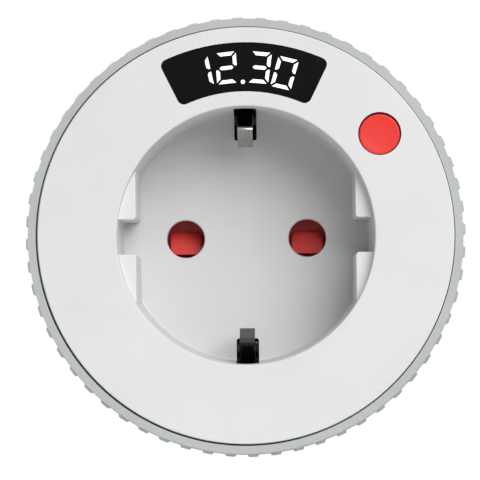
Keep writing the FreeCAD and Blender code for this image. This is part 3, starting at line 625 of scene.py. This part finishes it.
coverFinish = recessedPlastic("white_abs_cover", "#DFDFDF", "#E4E4E4", 0.50, cupShade["share"],
                              frontY + cupShade["start"], frontY + cupShade["end"])
# darker nickel for the earth contacts seen through the clip slots: painted shade
shadedNickel = drawnMetal("nickel_strip_painted_shade", "#6E6C66", "#8B8982", 0.40)
# a darker copy of the spring steel, for the lower clip only: painted shade
shadedSpringSteel = drawnMetal("spring_steel_painted_shade", "#2B2B2A", "#454543", 0.42)
# darker brass for the earth bridge seen through the clip slots: painted shade
shadedBrass = drawnMetal("brass_painted_shade", "#3E331C", "#54462A", 0.50)
slotShadeFinish = {                # what shows through the clip slots is dark: these pieces take dark finishes in place of their own, a painted shade
    "contact_carrier": finishes["black_plastic"],
    "earth_bridge": shadedBrass,
    "earth_contact_upper": shadedNickel,
    "earth_contact_lower": shadedNickel,
}
for part in frame["record"]["subparts"]:
    node = frame["nodes"][part["node"]]
    node.data.materials.clear()
    node.data.materials.append(slotShadeFinish.get(part["node"], finishes[part["material_slot"]]))
print("finishes made:", len(finishes), "and 5 for single pieces")


# Front cover: disc, skirt, recess cup, guide shoulders

cover = {
    "steps": 192,
    "mouthRadius": 19.75,
    "floorRadius": 19.14,
    "mouthRound": 0.25,
    "floorRound": 0.25,
    "discRound": 0.20,
    "cupWall": 1.6,
    "cupSink": 0.4,          # how far joined shapes and cutters go into the cup's wall and floor
    "skirtRadius": 30.8,
    "skirtWall": 1.4,
    "skirtDepth": 5.8,
    "shoulderX": 16.8,
    "shoulderFloorX": 16.49,
    "shoulderDrop": 2.1,
    "notchWidth": 5.3,
    "notchRound": 0.5,
    "edgeRound": 0.2,
    "pinHoleDia": 5.85,
    "pinHoleLead": 0.16,
    "pinHoleRound": 0.08,
    "slotWidth": 3.5,
    "slotInner": {1: 15.35, -1: 15.6},       # from the axis, for the upper and the lower slot
    "slotFront": 4.0,
    "slotRound": 0.35,
}
windowSize = {"inner": 22.0, "outer": 29.5, "half": 26.2, "corner": 1.05, "spare": 0.02}
buttonSize = {"radius": 25.675, "angle": 36.6, "dia": 6.2, "gap": 0.2, "sink": 0.15, "edge": 0.16,
              "hang": (-0.03, -0.12)}      # the loose cap rests on the edge of its hole
buttonX, buttonZ = polar(buttonSize["radius"], buttonSize["angle"])


def makeShoulder(size):
    topY = frontY + size["shoulderDrop"]
    reach = size["mouthRadius"] + size["cupWall"]
    outline = [
        (size["shoulderFloorX"], floorY, -reach),
        (size["shoulderX"], topY, -reach),
        (reach, topY, -reach),
        (reach, floorY, -reach),
    ]
    shoulder = plateFrom("shoulder", outline, (0, 0, 2 * reach))
    half = size["notchWidth"] / 2
    notch = blockAt("notch", (0, frontY, -half), (reach + past, floorY + past, half))
    cutAway(shoulder, notch)

    def notchCorner(a, b):
        upright = abs(a.z - b.z) < near and abs(abs(a.z) - mm(half)) < near
        return upright and max(a.x, b.x) < mm(size["shoulderX"]) + 10 * near
    bevelWhere(shoulder, size["notchRound"], 4, notchCorner)
    bevelAll(shoulder, size["edgeRound"], 2)
    midWall = size["cupWall"] / 2
    endY = floorY + size["cupSink"]
    inside = turnOutline("inside", [
        (0, frontY),
        (size["mouthRadius"] + midWall, frontY),
        (size["floorRadius"] + midWall, endY),
        (0, endY),
    ], size["steps"])
    combine(shoulder, inside, "INTERSECT")
    return shoulder


def makeCover(size):
    wall = size["cupWall"]
    skirtInner = size["skirtRadius"] - size["skirtWall"]
    body = turnOutline("frontCover", [
        (size["mouthRadius"], frontY),
        (discRadius, frontY),
        (discRadius, plateY),
        (size["skirtRadius"], plateY),
        (size["skirtRadius"], plateY + size["skirtDepth"]),
        (skirtInner, plateY + size["skirtDepth"]),
        (skirtInner, plateY),
        (size["mouthRadius"] + wall, plateY),
        (size["floorRadius"] + wall, floorBackY),
        (0, floorBackY),
        (0, floorY),
        (size["floorRadius"], floorY),
    ], size["steps"])

    bevelWhere(body, size["discRound"], 4, onCircle(discRadius, frontY))
    bevelWhere(body, size["mouthRound"], 4, onCircle(size["mouthRadius"], frontY))
    bevelWhere(body, size["floorRound"], 3, onCircle(size["floorRadius"], floorY))
    bevelWhere(body, size["edgeRound"], 2, onCircle(discRadius, plateY))

    right = makeShoulder(size)
    left = copyTurned(right, "shoulderLeft", 180)
    addOn(body, right, left)

    start, discEnd, floorEnd = frontY - past, plateY + past / 2, floorBackY + past / 2
    window = curvedBar("window", windowSize["inner"], windowSize["outer"] + windowSize["spare"],
                       windowSize["half"], start, discEnd, windowSize["corner"])
    hole = rodAt("buttonHole", buttonSize["dia"] + 2 * buttonSize["gap"], start, discEnd,
                 buttonX, buttonZ, 96)
    cutAway(body, window, hole)
    radius, lead = size["pinHoleDia"] / 2, size["pinHoleLead"]
    for side in (-1, 1):
        hole = turnOutline("pinHole", [
            (0, floorY - past),
            (radius + lead, floorY - past),
            (radius + lead, floorY),
            (radius, floorY + lead),
            (radius, floorEnd),
            (0, floorEnd),
        ], 96, (side * pinX, 0))
        bevelWhere(hole, size["pinHoleRound"], 3, onCircle(radius, floorY + lead, side * pinX))
        cutAway(body, hole)
        outer = size["mouthRadius"] + wall + size["cupSink"]
        low, high = sorted((side * size["slotInner"][side], side * outer))
        slot = blockAt("slot", (-size["slotWidth"] / 2, frontY + size["slotFront"], low),
                       (size["slotWidth"] / 2, floorEnd, high))
        bevelWhere(slot, size["slotRound"], 3, alongDepth)
        cutAway(body, slot)
    return body


frontCover = makeCover(cover)
finishPiece(frontCover, "housing", "white_shell", "front_cover", finish=coverFinish)
print("front cover:", len(frontCover.data.polygons), "faces")


# Grip ring: ribbed outside, bores for its two journals, gear teeth between them

ring = {
    "steps": 240,
    "ribs": 60,
    "ribPoints": 20,         # points of the outline in one pitch
    "ribHalf": 1.35,         # degrees from a rib's middle to the edge of its flat top
    "ribPhase": 1.4,         # degrees from +X to the middle of a rib
    "rootRadius": 33.50,
    "tipRadius": 33.84,
    "frontShrink": 0.9905,   # the ribbed wall narrows a little towards the front
    "hang": (-0.07, -0.08),  # the loose ring rests on the top of its journal
    "seam": 0.19,            # disc's edge to the ring
    "face": 1.22,            # width of the flat front
    "shoulder": 0.25,        # slope at the rear edge
    "shoulderShare": 0.3,    # where the slope changes from steep to flat
    "taper": 5.7,            # length of the slope behind the flat front
    "spare": 0.01,           # the turned blank stands proud of the ribs that are cut from it
    "bore": 31.0,
    "edgeRound": 0.10,
    "teeth": 100,
    "gearFront": 12.8,       # front face to the gear teeth
    "gearBack": 16.3,
    "toothRoot": 30.85,
    "toothTip": 29.65,
    "toothHalf": 0.95,       # degrees
    "toothSink": 0.4,        # the toothed band goes this far into the ring
    "merge": 0.002,          # mm, for slivers that the cuts leave
}


def isNearMultiple(point, pitch, reach):
    angle = math.degrees(math.atan2(point.z, point.x)) % pitch
    return min(angle, pitch - angle) <= reach


def growWhere(piece, factor, wanted):
    # moves the chosen points away from the axis
    selectWhere(piece, "VERT", lambda vertex: wanted(vertex.co))
    bpy.ops.transform.resize(value=(factor, 1, factor), center_override=origin)
    endEdit()


def narrowFront(ribbed, size):
    # the front end face is pulled forward and shrunk, then the ribs are turned to their place
    selectWhere(ribbed, "FACE", lambda face: face.normal.y < -0.9)
    bpy.ops.mesh.extrude_region_move(
        TRANSFORM_OT_translate={"value": mm(0, -size["taper"] - past, 0)})
    bpy.ops.transform.resize(value=(size["frontShrink"], 1, size["frontShrink"]),
                             center_override=origin)
    endEdit()
    turnMesh(ribbed, size["ribPhase"])


def makeRing(size):
    tip, shoulder = size["tipRadius"], size["shoulder"]
    inner = discRadius + size["seam"]
    stepY = plateY + size["seam"]
    bend = shoulder * size["shoulderShare"]
    body = turnOutline("gripRing", [
        (inner, ringLow.y),
        (inner + size["face"], ringLow.y),
        (tip + size["spare"], ringLow.y + size["taper"]),
        (tip + size["spare"], ringHigh.y - shoulder),
        (tip - bend, ringHigh.y - bend),
        (tip - shoulder, ringHigh.y),
        (size["bore"], ringHigh.y),
        (size["bore"], stepY),
        (inner, stepY),
    ], size["steps"])
    ribbed = rodAt("ribbed", 2 * size["rootRadius"], ringLow.y + size["taper"],
                   ringHigh.y + past, steps=size["ribs"] * size["ribPoints"])
    growWhere(ribbed, tip / size["rootRadius"],
              lambda p: isNearMultiple(p, 360 / size["ribs"], size["ribHalf"]))
    narrowFront(ribbed, size)
    combine(body, ribbed, "INTERSECT")
    bevelAll(body, size["edgeRound"], 2, 30)

    gearFront, gearBack = frontY + size["gearFront"], frontY + size["gearBack"]
    gear = rodAt("gear", 2 * size["toothTip"], gearFront, gearBack, steps=size["teeth"] * 4)
    growWhere(gear, size["toothRoot"] / size["toothTip"],
              lambda p: isNearMultiple(p, 360 / size["teeth"], size["toothHalf"]))
    toothed = turnOutline("toothed", [
        (size["toothTip"], gearFront + size["spare"]),
        (size["bore"] + size["toothSink"], gearFront + size["spare"]),
        (size["bore"] + size["toothSink"], gearBack - size["spare"]),
        (size["toothTip"], gearBack - size["spare"]),
    ], size["steps"])
    cutAway(toothed, gear)
    addOn(body, toothed)
    editOf(body)
    selectAll()
    bpy.ops.mesh.remove_doubles(threshold=mm(size["merge"]))
    bpy.ops.mesh.dissolve_degenerate(threshold=mm(size["merge"]))
    endEdit()
    moveMesh(body, size["hang"][0], 0, size["hang"][1])
    return body


gripRing = makeRing(ring)
finishPiece(gripRing, "ring", "grey_ring", "grip_ring")
print("grip ring:", len(gripRing.data.polygons), "faces")


# Display: tinted window with its flange, and the lit digits that show through it

lens = {
    "gap": 0.1,
    "sink": 0.08,
    "edge": 0.14,
    "overlap": 0.1,          # window and flange share this much depth where they join
    "flange": 0.8,
    "lip": 0.5,
    "lipAngle": 1.2,
}
digits = {
    "angles": (14.9, 5.95, -5.35, -14.1),        # counter-clockwise from the top
    "radii": (25.75, 25.75, 25.72, 25.48),
    "shown": ("bc", "abged", "abgcd", "abcdef"),
    "width": 2.62,           # middle of the left stroke to the middle of the right one
    "height": 4.22,
    "slant": 2.5,
    "stroke": 0.55,
    "gap": 0.24,             # each stroke ends this far short of its corner
    "dotAngle": 0.45,
    "dotRadius": 23.45,
    "dotDia": 0.64,
    "depth": 0.2,
    "proud": 0.01,
}


def makeLens(size):
    inner, outer = windowSize["inner"] + size["gap"], windowSize["outer"] - size["gap"]
    half = windowSize["half"] - math.degrees(size["gap"] / windowSize["inner"])
    front = frontY + size["sink"]
    window = curvedBar("displayLens", inner, outer, half, front, plateY + size["overlap"],
                       windowSize["corner"])
    bevelWhere(window, size["edge"], 3, lambda a, b: abs(a.y - mm(front)) < near
               and abs(b.y - mm(front)) < near and isOutlineEdge(a, b, inner, outer, half))
    flange = curvedBar("flange", windowSize["inner"] - size["lip"], outer,
                       windowSize["half"] + size["lipAngle"], plateY, plateY + size["flange"],
                       windowSize["corner"])
    addOn(window, flange)
    return window


def isOutlineEdge(a, b, inner, outer, half, slack=0.05, endZone=3):
    # the front face's own outline, and not the lines across it (slack in mm, endZone in degrees)
    middle = (a + b) / 2
    radius = math.hypot(middle.x, middle.z) * 1000
    lean = abs(math.degrees(math.atan2(middle.x, middle.z)))
    alongArc = abs(math.hypot(a.x, a.z) - math.hypot(b.x, b.z)) < near
    isAcross = inner + slack < radius < outer - slack and lean < half - endZone
    return not isAcross or alongArc


def strokeOutline(name, size):
    # one stroke of a seven-stroke digit, as (right, up) points with mitred ends
    wide, tall, half, gap = size["width"] / 2, size["height"] / 2, size["stroke"] / 2, size["gap"]
    across = [(-wide - half + gap, tall + half), (wide + half - gap, tall + half),
              (wide - half - gap, tall - half), (-wide + half + gap, tall - half)]
    upright = [(wide + half, tall + half - gap), (wide + half, gap), (wide, gap),
               (wide - half, half + gap), (wide - half, tall - half - gap)]
    bar = [(-wide + gap, 0), (-wide + half + gap, half), (wide - half - gap, half),
           (wide - gap, 0), (wide - half - gap, -half), (-wide + half + gap, -half)]
    return {
        "a": across,
        "b": upright,
        "c": [(x, -y) for x, y in upright],
        "d": [(x, -y) for x, y in across],
        "e": [(-x, -y) for x, y in upright],
        "f": [(-x, y) for x, y in upright],
        "g": bar,
    }[name]


def makeDigits(size):
    front = frontY + lens["sink"] - size["proud"]
    lean = math.tan(math.radians(size["slant"]))
    strokes = []
    for angle, radius, shown in zip(size["angles"], size["radii"], size["shown"]):
        turn = math.radians(angle)
        for name in shown:
            points = []
            for right, up in strokeOutline(name, size):
                right += up * lean
                outward = radius + up
                points.append((right * math.cos(turn) - outward * math.sin(turn), front,
                               right * math.sin(turn) + outward * math.cos(turn)))
            strokes.append(plateFrom("stroke", points, (0, size["depth"], 0)))
    dotX, dotZ = polar(size["dotRadius"], 90 + size["dotAngle"])
    strokes.append(rodAt("dot", size["dotDia"], front, front + size["depth"], dotX, dotZ, 32))
    lit = joinAll(strokes)
    lit.name = "litDigits"
    return lit


displayLens = makeLens(lens)
finishPiece(displayLens, "housing", "tinted_window", "display_lens")
litDigits = makeDigits(digits)
finishPiece(litDigits, "housing", "black_module", finish=litFinish, smooth=0)
print("display: lens and", sum(len(s) for s in digits["shown"]), "strokes")


# Push button

button = {
    "dish": 0.10,
    "dishSteps": ((0, 1), (0.45, 0.75), (0.78, 0.45), (0.90, 0)),    # shares of radius and of dish
    "play": 0.1,
    "flange": 0.8,
    "flangeRadius": 3.6,
    "stemRadius": 1.7,
    "stemEnd": 3.8,
}


def makeButton(size):
    front = frontY + buttonSize["sink"]
    radius = buttonSize["dia"] / 2
    flangeY = plateY + size["play"]
    dish = [(radius * out, front + size["dish"] * deep) for out, deep in size["dishSteps"]]
    cap = turnOutline("buttonCap", dish + [
        (radius, front),
        (radius, flangeY),
        (size["flangeRadius"], flangeY),
        (size["flangeRadius"], flangeY + size["flange"]),
        (size["stemRadius"], flangeY + size["flange"]),
        (size["stemRadius"], frontY + size["stemEnd"]),
        (0, frontY + size["stemEnd"]),
    ], 96, (buttonX, buttonZ))
    bevelWhere(cap, buttonSize["edge"], 5, onCircle(radius, front, buttonX, buttonZ))
    moveMesh(cap, buttonSize["hang"][0], 0, buttonSize["hang"][1])
    return cap


buttonCap = makeButton(button)
finishPiece(buttonCap, "button", "red_button", "button_cap")
print("button made")


# Earth clips: a sheet strip drawn from foot to free end, bent, then given its thickness

clip = {
    "width": 2.34,
    "wall": 0.6,
    "foot": 2.6,             # behind the housing's inner wall
    "footLevel": 17.55,
    "leg": 20.0,
    "bend": 4.9,             # front face to the crest of the bend
    "bendOut": 16.90,
    "bendIn": 15.95,
    "bendRadius": 0.5,
    "bendStep": 0.2,
    "bendRound": 0.3,
    "tip": 12.6,
    "tipLevel": 14.35,
    "corner": 0.12,
}


def makeClip(size):
    footY = seatY - rearWall - size["foot"]
    bendY = frontY + size["bend"] + size["wall"] / 2
    half = size["width"] / 2
    path = [
        (-half, footY, size["footLevel"]),
        (-half, footY, size["leg"]),
        (-half, floorBackY, size["leg"]),
        (-half, bendY + size["bendRadius"], size["bendOut"]),
        (-half, bendY, size["bendOut"] - size["bendStep"]),
        (-half, bendY, size["bendIn"] + size["bendStep"]),
        (-half, bendY + size["bendRadius"], size["bendIn"]),
        (-half, frontY + size["tip"], size["tipLevel"]),
    ]
    strip = startPoint("earthClip", path[0])
    pullAlong(path)
    selectAll()
    bpy.ops.mesh.extrude_region_move(TRANSFORM_OT_translate={"value": mm(size["width"], 0, 0)})
    tidyMesh()
    endEdit()

    def acrossStrip(a, b):
        isEdge = any(abs(a.y - mm(y)) < near and abs(a.z - mm(z)) < near
                     for x, y, z in (path[0], path[-1]))
        return abs(a.x - b.x) > mm(1) and not isEdge
    bevelWhere(strip, size["bendRound"], 4, acrossStrip)
    makeActive(strip)
    sheet = strip.modifiers.new("thickness", "SOLIDIFY")
    sheet.thickness = mm(size["wall"])
    sheet.offset = 0
    sheet.use_even_offset = True
    bpy.ops.object.modifier_apply(modifier=sheet.name)
    bevelAll(strip, size["corner"], 2, 50)
    return strip


upperClip = makeClip(clip)
lowerClip = copyTurned(upperClip, "earthClipLower", 180)
upperClip.name = "earthClipUpper"
# the lower clip takes the darker copy of its steel: painted shade
for piece, node, steel in ((upperClip, "earth_clip_upper", finishes["spring_steel"]),
                           (lowerClip, "earth_clip_lower", shadedSpringSteel)):
    finishPiece(piece, "housing", "spring_steel", node, finish=steel)
print("earth clips made")


# Shutter: slider with a raised pad in front of each pin hole and a ramp above it

shutter = {
    "half": 13.1,
    "top": 3.4,
    "low": 3.6,
    "padHalf": 2.5,
    "padTop": 1.25,
    "padLow": 2.35,
    "padRise": 1.6,
    "padSlope": 2.0,
    "padCorner": 1.0,
    "lip": 0.6,
    "wingHalf": 3.6,
    "tongueHalf": 2.6,
    "tongueLow": 5.6,
    "tongueSink": 0.5,
    "spigotDia": 1.7,
    "spigotLength": 1.6,
    "spigotSink": 0.3,
    "spigotForward": 0.2,
    "edge": 0.12,
}


def makeShutter(size):
    front, back = [corner.y for corner in boxOf("shutter")]
    middle = (front + back) / 2
    bottom, top = -size["low"], size["top"]

    def profile(x, shift):
        return [(x, front + shift, bottom), (x, front + size["padSlope"] + shift, size["padTop"]),
                (x, back - size["lip"], top), (x, back, top), (x, back, bottom)]
    body = blockAt("shutterBody", (-size["half"], middle, bottom), (size["half"], back, top))
    for side in (-1, 1):
        x = side * pinX
        wing = plateFrom("wing", profile(x - size["wingHalf"], size["padRise"]),
                         (2 * size["wingHalf"], 0, 0))
        pad = blockAt("pad", (x - size["padHalf"], front, -size["padLow"]),
                      (x + size["padHalf"], back, size["padTop"]))
        bevelWhere(pad, size["padCorner"], 5, alongDepth)
        combine(pad, plateFrom("ramp", profile(x - size["wingHalf"], 0),
                               (2 * size["wingHalf"], 0, 0)), "INTERSECT")
        bevelAll(pad, size["edge"], 3, 35)
        addOn(body, wing, pad)
    tongue = blockAt("tongue", (-size["tongueHalf"], middle, -size["tongueLow"]),
                     (size["tongueHalf"], back, bottom + size["tongueSink"]))
    spigot = uprightRod("spigot", size["spigotDia"], -size["tongueLow"] - size["spigotLength"],
                        size["spigotSink"] - size["tongueLow"],
                        (middle + back) / 2 - size["spigotForward"], 32)
    addOn(body, tongue, spigot)
    return body


shutterPiece = makeShutter(shutter)
shutterPiece.name = "shutterSlider"
finishPiece(shutterPiece, "shutter", "red_shutter", "shutter")
print("shutter made")


# Shutter spring: round wire, shortened by the slider as it comes down

spring = {"coilDia": 2.8, "wire": 0.4, "wirePoints": 10, "turns": 7.5, "stepsPerCoil": 180,
          "travel": 6.3}


def makeSpring(size):
    low, high = boxOf("shutter_spring")
    rise = high.z - low.z - size["wire"]
    deselectAll()
    bpy.ops.mesh.primitive_circle_add(vertices=size["wirePoints"], radius=mm(size["wire"] / 2),
                                      location=mm(size["coilDia"] / 2, 0, 0),
                                      rotation=(math.pi / 2, 0, 0), fill_type="NGON")
    coil = settle("shutterSpring")
    wind = coil.modifiers.new("wind", "SCREW")
    wind.angle = math.tau * size["turns"]
    wind.screw_offset = mm(rise)
    wind.steps = size["stepsPerCoil"]
    wind.render_steps = size["stepsPerCoil"]
    bpy.ops.object.modifier_apply(modifier=wind.name)
    editOf(coil)
    selectAll()
    bpy.ops.mesh.fill_holes(sides=size["wirePoints"] + 2)
    selectAll()
    bpy.ops.mesh.normals_make_consistent(inside=False)
    endEdit()
    moveMesh(coil, 0, (low.y + high.y) / 2, low.z + size["wire"] / 2)
    return coil, low.z, high.z


shutterSpring, springLow, springHigh = makeSpring(spring)
finishPiece(shutterSpring, "housing", "spring_steel", "shutter_spring")
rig.squash(shutterSpring, "shutter_slide", axis=(0, 0, 1), anchor=mm(0, 0, springLow),
          keep=1 - spring["travel"] / (springHigh - springLow))
print("shutter spring made")


# Rear housing, plug body, pins and screws

rear = {
    "steps": 192,
    "radius": 33.4,
    "ringGap": 0.3,          # shell's front edge behind the grip ring
    "draft": 0.5,            # degrees
    "round": 2.5,
    "frontRound": 0.25,
    "collar": 3.4,
    "screwCircle": 25.375,
    "screwAngles": (135.0, 225.0, 310.0),
    "screwHole": 5.0,
    "screwSink": 4.0,
    "postDia": 6.8,
    "postReach": 8.0,
}
plug = {
    "radius": 18.89,
    "flat": 16.24,
    "rib": 4.8,
    "channelHalf": 3.0,
    "channelFloor": 16.75,
    "edge": 0.35,
    "fit": 0.05,
    "flange": 1.2,
    "wall": 1.7,
    "endWall": 1.8,
}
pin = {"dia": 4.8, "seatDia": 5.2, "boreGap": 0.02, "flangeDia": 6.0, "flange": 1.6,
       "tailDia": 2.4, "tail": 2.0, "tipRound": 1.6}
screw = {"headDia": 4.8, "head": 2.0, "sink": 2.0, "dia": 2.5, "boreGap": 0.2, "slot": 0.8,
         "cross": 3.0, "depth": 1.1, "rim": 0.5, "crown": 0.1, "crownIn": 0.35, "frontGap": 0.1}


def plugSection(name, size, grow, y0, y1):
    # round plug body with flat sides, a rib on each flat and an earth channel top and bottom
    radius, flat = size["radius"] + grow, size["flat"] + grow
    rib, channel = size["rib"] / 2 + grow, size["channelHalf"] - grow
    starts = (0, math.degrees(math.acos(flat / radius)))
    ends = (math.degrees(math.asin(rib / radius)), math.degrees(math.acos(channel / radius)))
    quarter = []
    for start, end, steps in zip(starts, ends, (4, 14)):
        quarter += [polar(radius, start + (end - start) * i / steps) for i in range(steps + 1)]
        quarter += [(flat, rib)] if start == 0 else []
    quarter += [(channel, size["channelFloor"] + grow), (0, size["channelFloor"] + grow)]
    outline = []
    for signX, signZ in ((1, 1), (-1, 1), (-1, -1), (1, -1)):
        side = quarter if signX == signZ else quarter[::-1]
        for x, z in side:
            point = (signX * x, y0, signZ * z)
            if not outline or math.dist(point, outline[-1]) > near:
                outline.append(point)
    return plateFrom(name, outline[:-1], (0, y1 - y0, 0))


def makePlugBody(size):
    backY = seatY - rearWall
    body = plugSection("plugBody", size, 0, backY - size["flange"] / 2, 0)
    bevelAll(body, size["edge"], 3)
    flange = rodAt("flange", 2 * (size["radius"] + size["flange"]), backY - size["flange"], backY,
                   steps=160)
    addOn(body, flange)
    hollow = rodAt("hollow", 2 * (size["flat"] - size["wall"]), backY - size["flange"] - past,
                   -size["endWall"], steps=96)
    cutAway(body, hollow)
    for side in (-1, 1):
        cutAway(body, rodAt("pinBore", pin["seatDia"] + pin["boreGap"], -size["endWall"] - past,
                            past, side * pinX))
    return body


def makeRearHousing(size):
    startY = ringHigh.y + size["ringGap"]
    slant = (seatY - startY) * math.tan(math.radians(size["draft"]))
    skirtInner = cover["skirtRadius"] - cover["skirtWall"]
    shell = turnOutline("rearHousing", [
        (skirtInner, startY - size["collar"]),
        (cover["skirtRadius"], startY - size["collar"]),
        (cover["skirtRadius"], startY),
        (size["radius"], startY),
        (size["radius"] - slant, seatY),
        (0, seatY),
        (0, seatY - rearWall),
        (skirtInner, seatY - rearWall),
    ], size["steps"])
    bevelWhere(shell, size["round"], 8, onCircle(size["radius"] - slant, seatY))
    bevelWhere(shell, size["frontRound"], 3, onCircle(size["radius"], startY))
    places = [polar(size["screwCircle"], angle) for angle in size["screwAngles"]]
    postY, midWall = startY - size["postReach"], seatY - rearWall / 2
    for x, z in places:
        addOn(shell, rodAt("post", size["postDia"], postY, midWall, x, z, 48))
    cutAway(shell, plugSection("opening", plug, plug["fit"], seatY - rearWall - past, seatY + past))
    for x, z in places:
        hole = rodAt("screwHole", size["screwHole"], seatY - size["screwSink"], seatY + past, x, z)
        bore = rodAt("screwBore", screw["dia"] + screw["boreGap"], postY - past, midWall, x, z, 32)
        cutAway(shell, hole, bore)
    return shell


def makePin(size, side):
    flangeY = -plug["endWall"] - size["flange"]
    shape = turnOutline("plugPin", [
        (0, flangeY - size["tail"]),
        (size["tailDia"] / 2, flangeY - size["tail"]),
        (size["tailDia"] / 2, flangeY),
        (size["flangeDia"] / 2, flangeY),
        (size["flangeDia"] / 2, -plug["endWall"]),
        (size["seatDia"] / 2, -plug["endWall"]),
        (size["seatDia"] / 2, 0),
        (size["dia"] / 2, 0),
        (size["dia"] / 2, pinEndY),
        (0, pinEndY),
    ], 64, (side * pinX, 0))
    bevelWhere(shape, size["tipRound"], 7, onCircle(size["dia"] / 2, pinEndY, side * pinX))
    return shape


def makeScrew(size, angle):
    x, z = polar(rear["screwCircle"], angle)
    back = seatY - size["sink"]
    front = back - size["head"]
    end = plateY + size["frontGap"]
    radius, headRadius = size["dia"] / 2, size["headDia"] / 2
    body = turnOutline("housingScrew", [
        (0, end),
        (radius, end),
        (radius, front),
        (headRadius, front),
        (headRadius, back - size["rim"]),
        (headRadius - size["crownIn"], back - size["crown"]),
        (headRadius / 2, back),
        (0, back),
    ], 48, (x, z))
    for long, short in ((size["cross"], size["slot"]), (size["slot"], size["cross"])):
        cutAway(body, blockAt("cross", (x - long / 2, back - size["depth"], z - short / 2),
                              (x + long / 2, back + past, z + short / 2)))
    return body


finishPiece(makePlugBody(plug), "housing", "white_shell", "plug_body")
finishPiece(makeRearHousing(rear), "housing", "white_shell", "rear_housing")
for node in ("live_pin", "neutral_pin"):
    side = math.copysign(1, boxOf(node)[0].x)
    plugPin = makePin(pin, side)
    plugPin.name = "plugPin_" + node.split("_")[0]
    finishPiece(plugPin, "housing", "pin_nickel", node, smooth=45)
screws = joinAll([makeScrew(screw, angle) for angle in rear["screwAngles"]])
screws.name = "housingScrews"
finishPiece(screws, "housing", "screw_steel", "housing_screws")
print("rear housing, plug body, pins and screws made")


# Camera and studio

cameraSetup = {
    "distance": 700.0,       # mm from the front face to the lens
    "sideways": 4.6,         # mm right of the object's axis
    "below": 20.8,           # mm below the object's axis
    "viewWidth": 73.2,       # mm across the picture, at the front face
    "aim": (-0.90, -0.71),   # point of the front face in the middle of the picture
    "roll": 0.65,            # degrees
    "sensor": 36.0,
}
studioSetup = {
    "floorGap": 11.0,        # mm between the object's lowest point and the floor
    "floorRadius": 240.0,
    "floorThickness": 2.0,
    "floorShades": ("#F0F0EE", "#F4F4F2"),
    "worldFill": 0.18,       # the world's light on the object; the camera sees it at 1
    "keyPlace": (340.0, -760.0, 430.0),
    "keySize": 700.0,
    "keyPower": 7.4,
    "backPlace": (-460.0, 620.0, 470.0),     # for the sides and back, which the photo doesn't show
    "backSize": 500.0,
    "backPower": 3.0,
}


def aimAt(location, target, roll=0.0):
    # rotation that looks from a place to a target with +Z up, rolled by some degrees
    forward = (Vector(target) - Vector(location)).normalized()
    upHint = Vector((math.sin(math.radians(roll)), 0, math.cos(math.radians(roll))))
    right = forward.cross(upHint).normalized()
    up = right.cross(forward)
    return Matrix((right, up, -forward)).transposed().to_euler()


def addHolder(name, data, place, target, roll=0.0):
    holder = bpy.data.objects.new(name, data)
    bpy.context.scene.collection.objects.link(holder)
    holder.location = place
    holder.rotation_euler = aimAt(place, target, roll)
    return holder


def addCamera(setup):
    camera = bpy.data.cameras.new("camera")
    camera.sensor_width = setup["sensor"]
    camera.lens = setup["sensor"] * setup["distance"] / setup["viewWidth"]
    place = mm(setup["sideways"], frontY - setup["distance"], -setup["below"])
    target = mm(setup["aim"][0], frontY, setup["aim"][1])
    bpy.context.scene.camera = addHolder("camera", camera, place, target, setup["roll"])


def addStudio(setup):
    bpy.context.scene.view_settings.view_transform = "Standard"
    floorZ = ringLow.z - setup["floorGap"]
    floor = uprightRod("floor", 2 * setup["floorRadius"], floorZ - setup["floorThickness"],
                       floorZ, steps=96)
    paper, shader, place = newFinish("matt_paper", {"Roughness": 0.9})
    tintVariation(paper, shader, place, *setup["floorShades"], size=30)
    floor.data.materials.append(paper)
    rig.stage(floor)

    for name in ("key", "back"):
        lamp = bpy.data.lights.new(name, "AREA")
        lamp.shape = "DISK"
        lamp.size = mm(setup[name + "Size"])
        lamp.energy = setup[name + "Power"]
        addHolder(name, lamp, mm(*setup[name + "Place"]), mm(0, frontY / 2, 0))

    # the world is white to the camera, in reflections and through clear pieces, and dimmer as light
    world = bpy.data.worlds.new("studio")
    bpy.context.scene.world = world
    world.use_nodes = True
    background = world.node_tree.nodes["Background"]
    background.inputs["Color"].default_value = (1, 1, 1, 1)
    rays = addNode(world, "ShaderNodeLightPath")
    direct = addNode(world, "ShaderNodeMath", {"operation": "MAXIMUM"},
                     {0: rays.outputs["Is Camera Ray"], 1: rays.outputs["Is Glossy Ray"]})
    shown = addNode(world, "ShaderNodeMath", {"operation": "MAXIMUM"},
                    {0: direct.outputs[0], 1: rays.outputs["Is Transmission Ray"]})
    strength = addNode(world, "ShaderNodeMapRange", {"To Min": setup["worldFill"], "To Max": 1.0},
                       {"Value": shown.outputs[0]})
    world.node_tree.links.new(strength.outputs["Result"], background.inputs["Strength"])


addCamera(cameraSetup)
addStudio(studioSetup)
print("camera and studio ready")

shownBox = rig.bounds()
with open("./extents.json", "w") as sizeFile:
    json.dump({"cad": [list(corner) for corner in cadBox],
               "visual": [list(corner) for corner in shownBox]}, sizeFile)
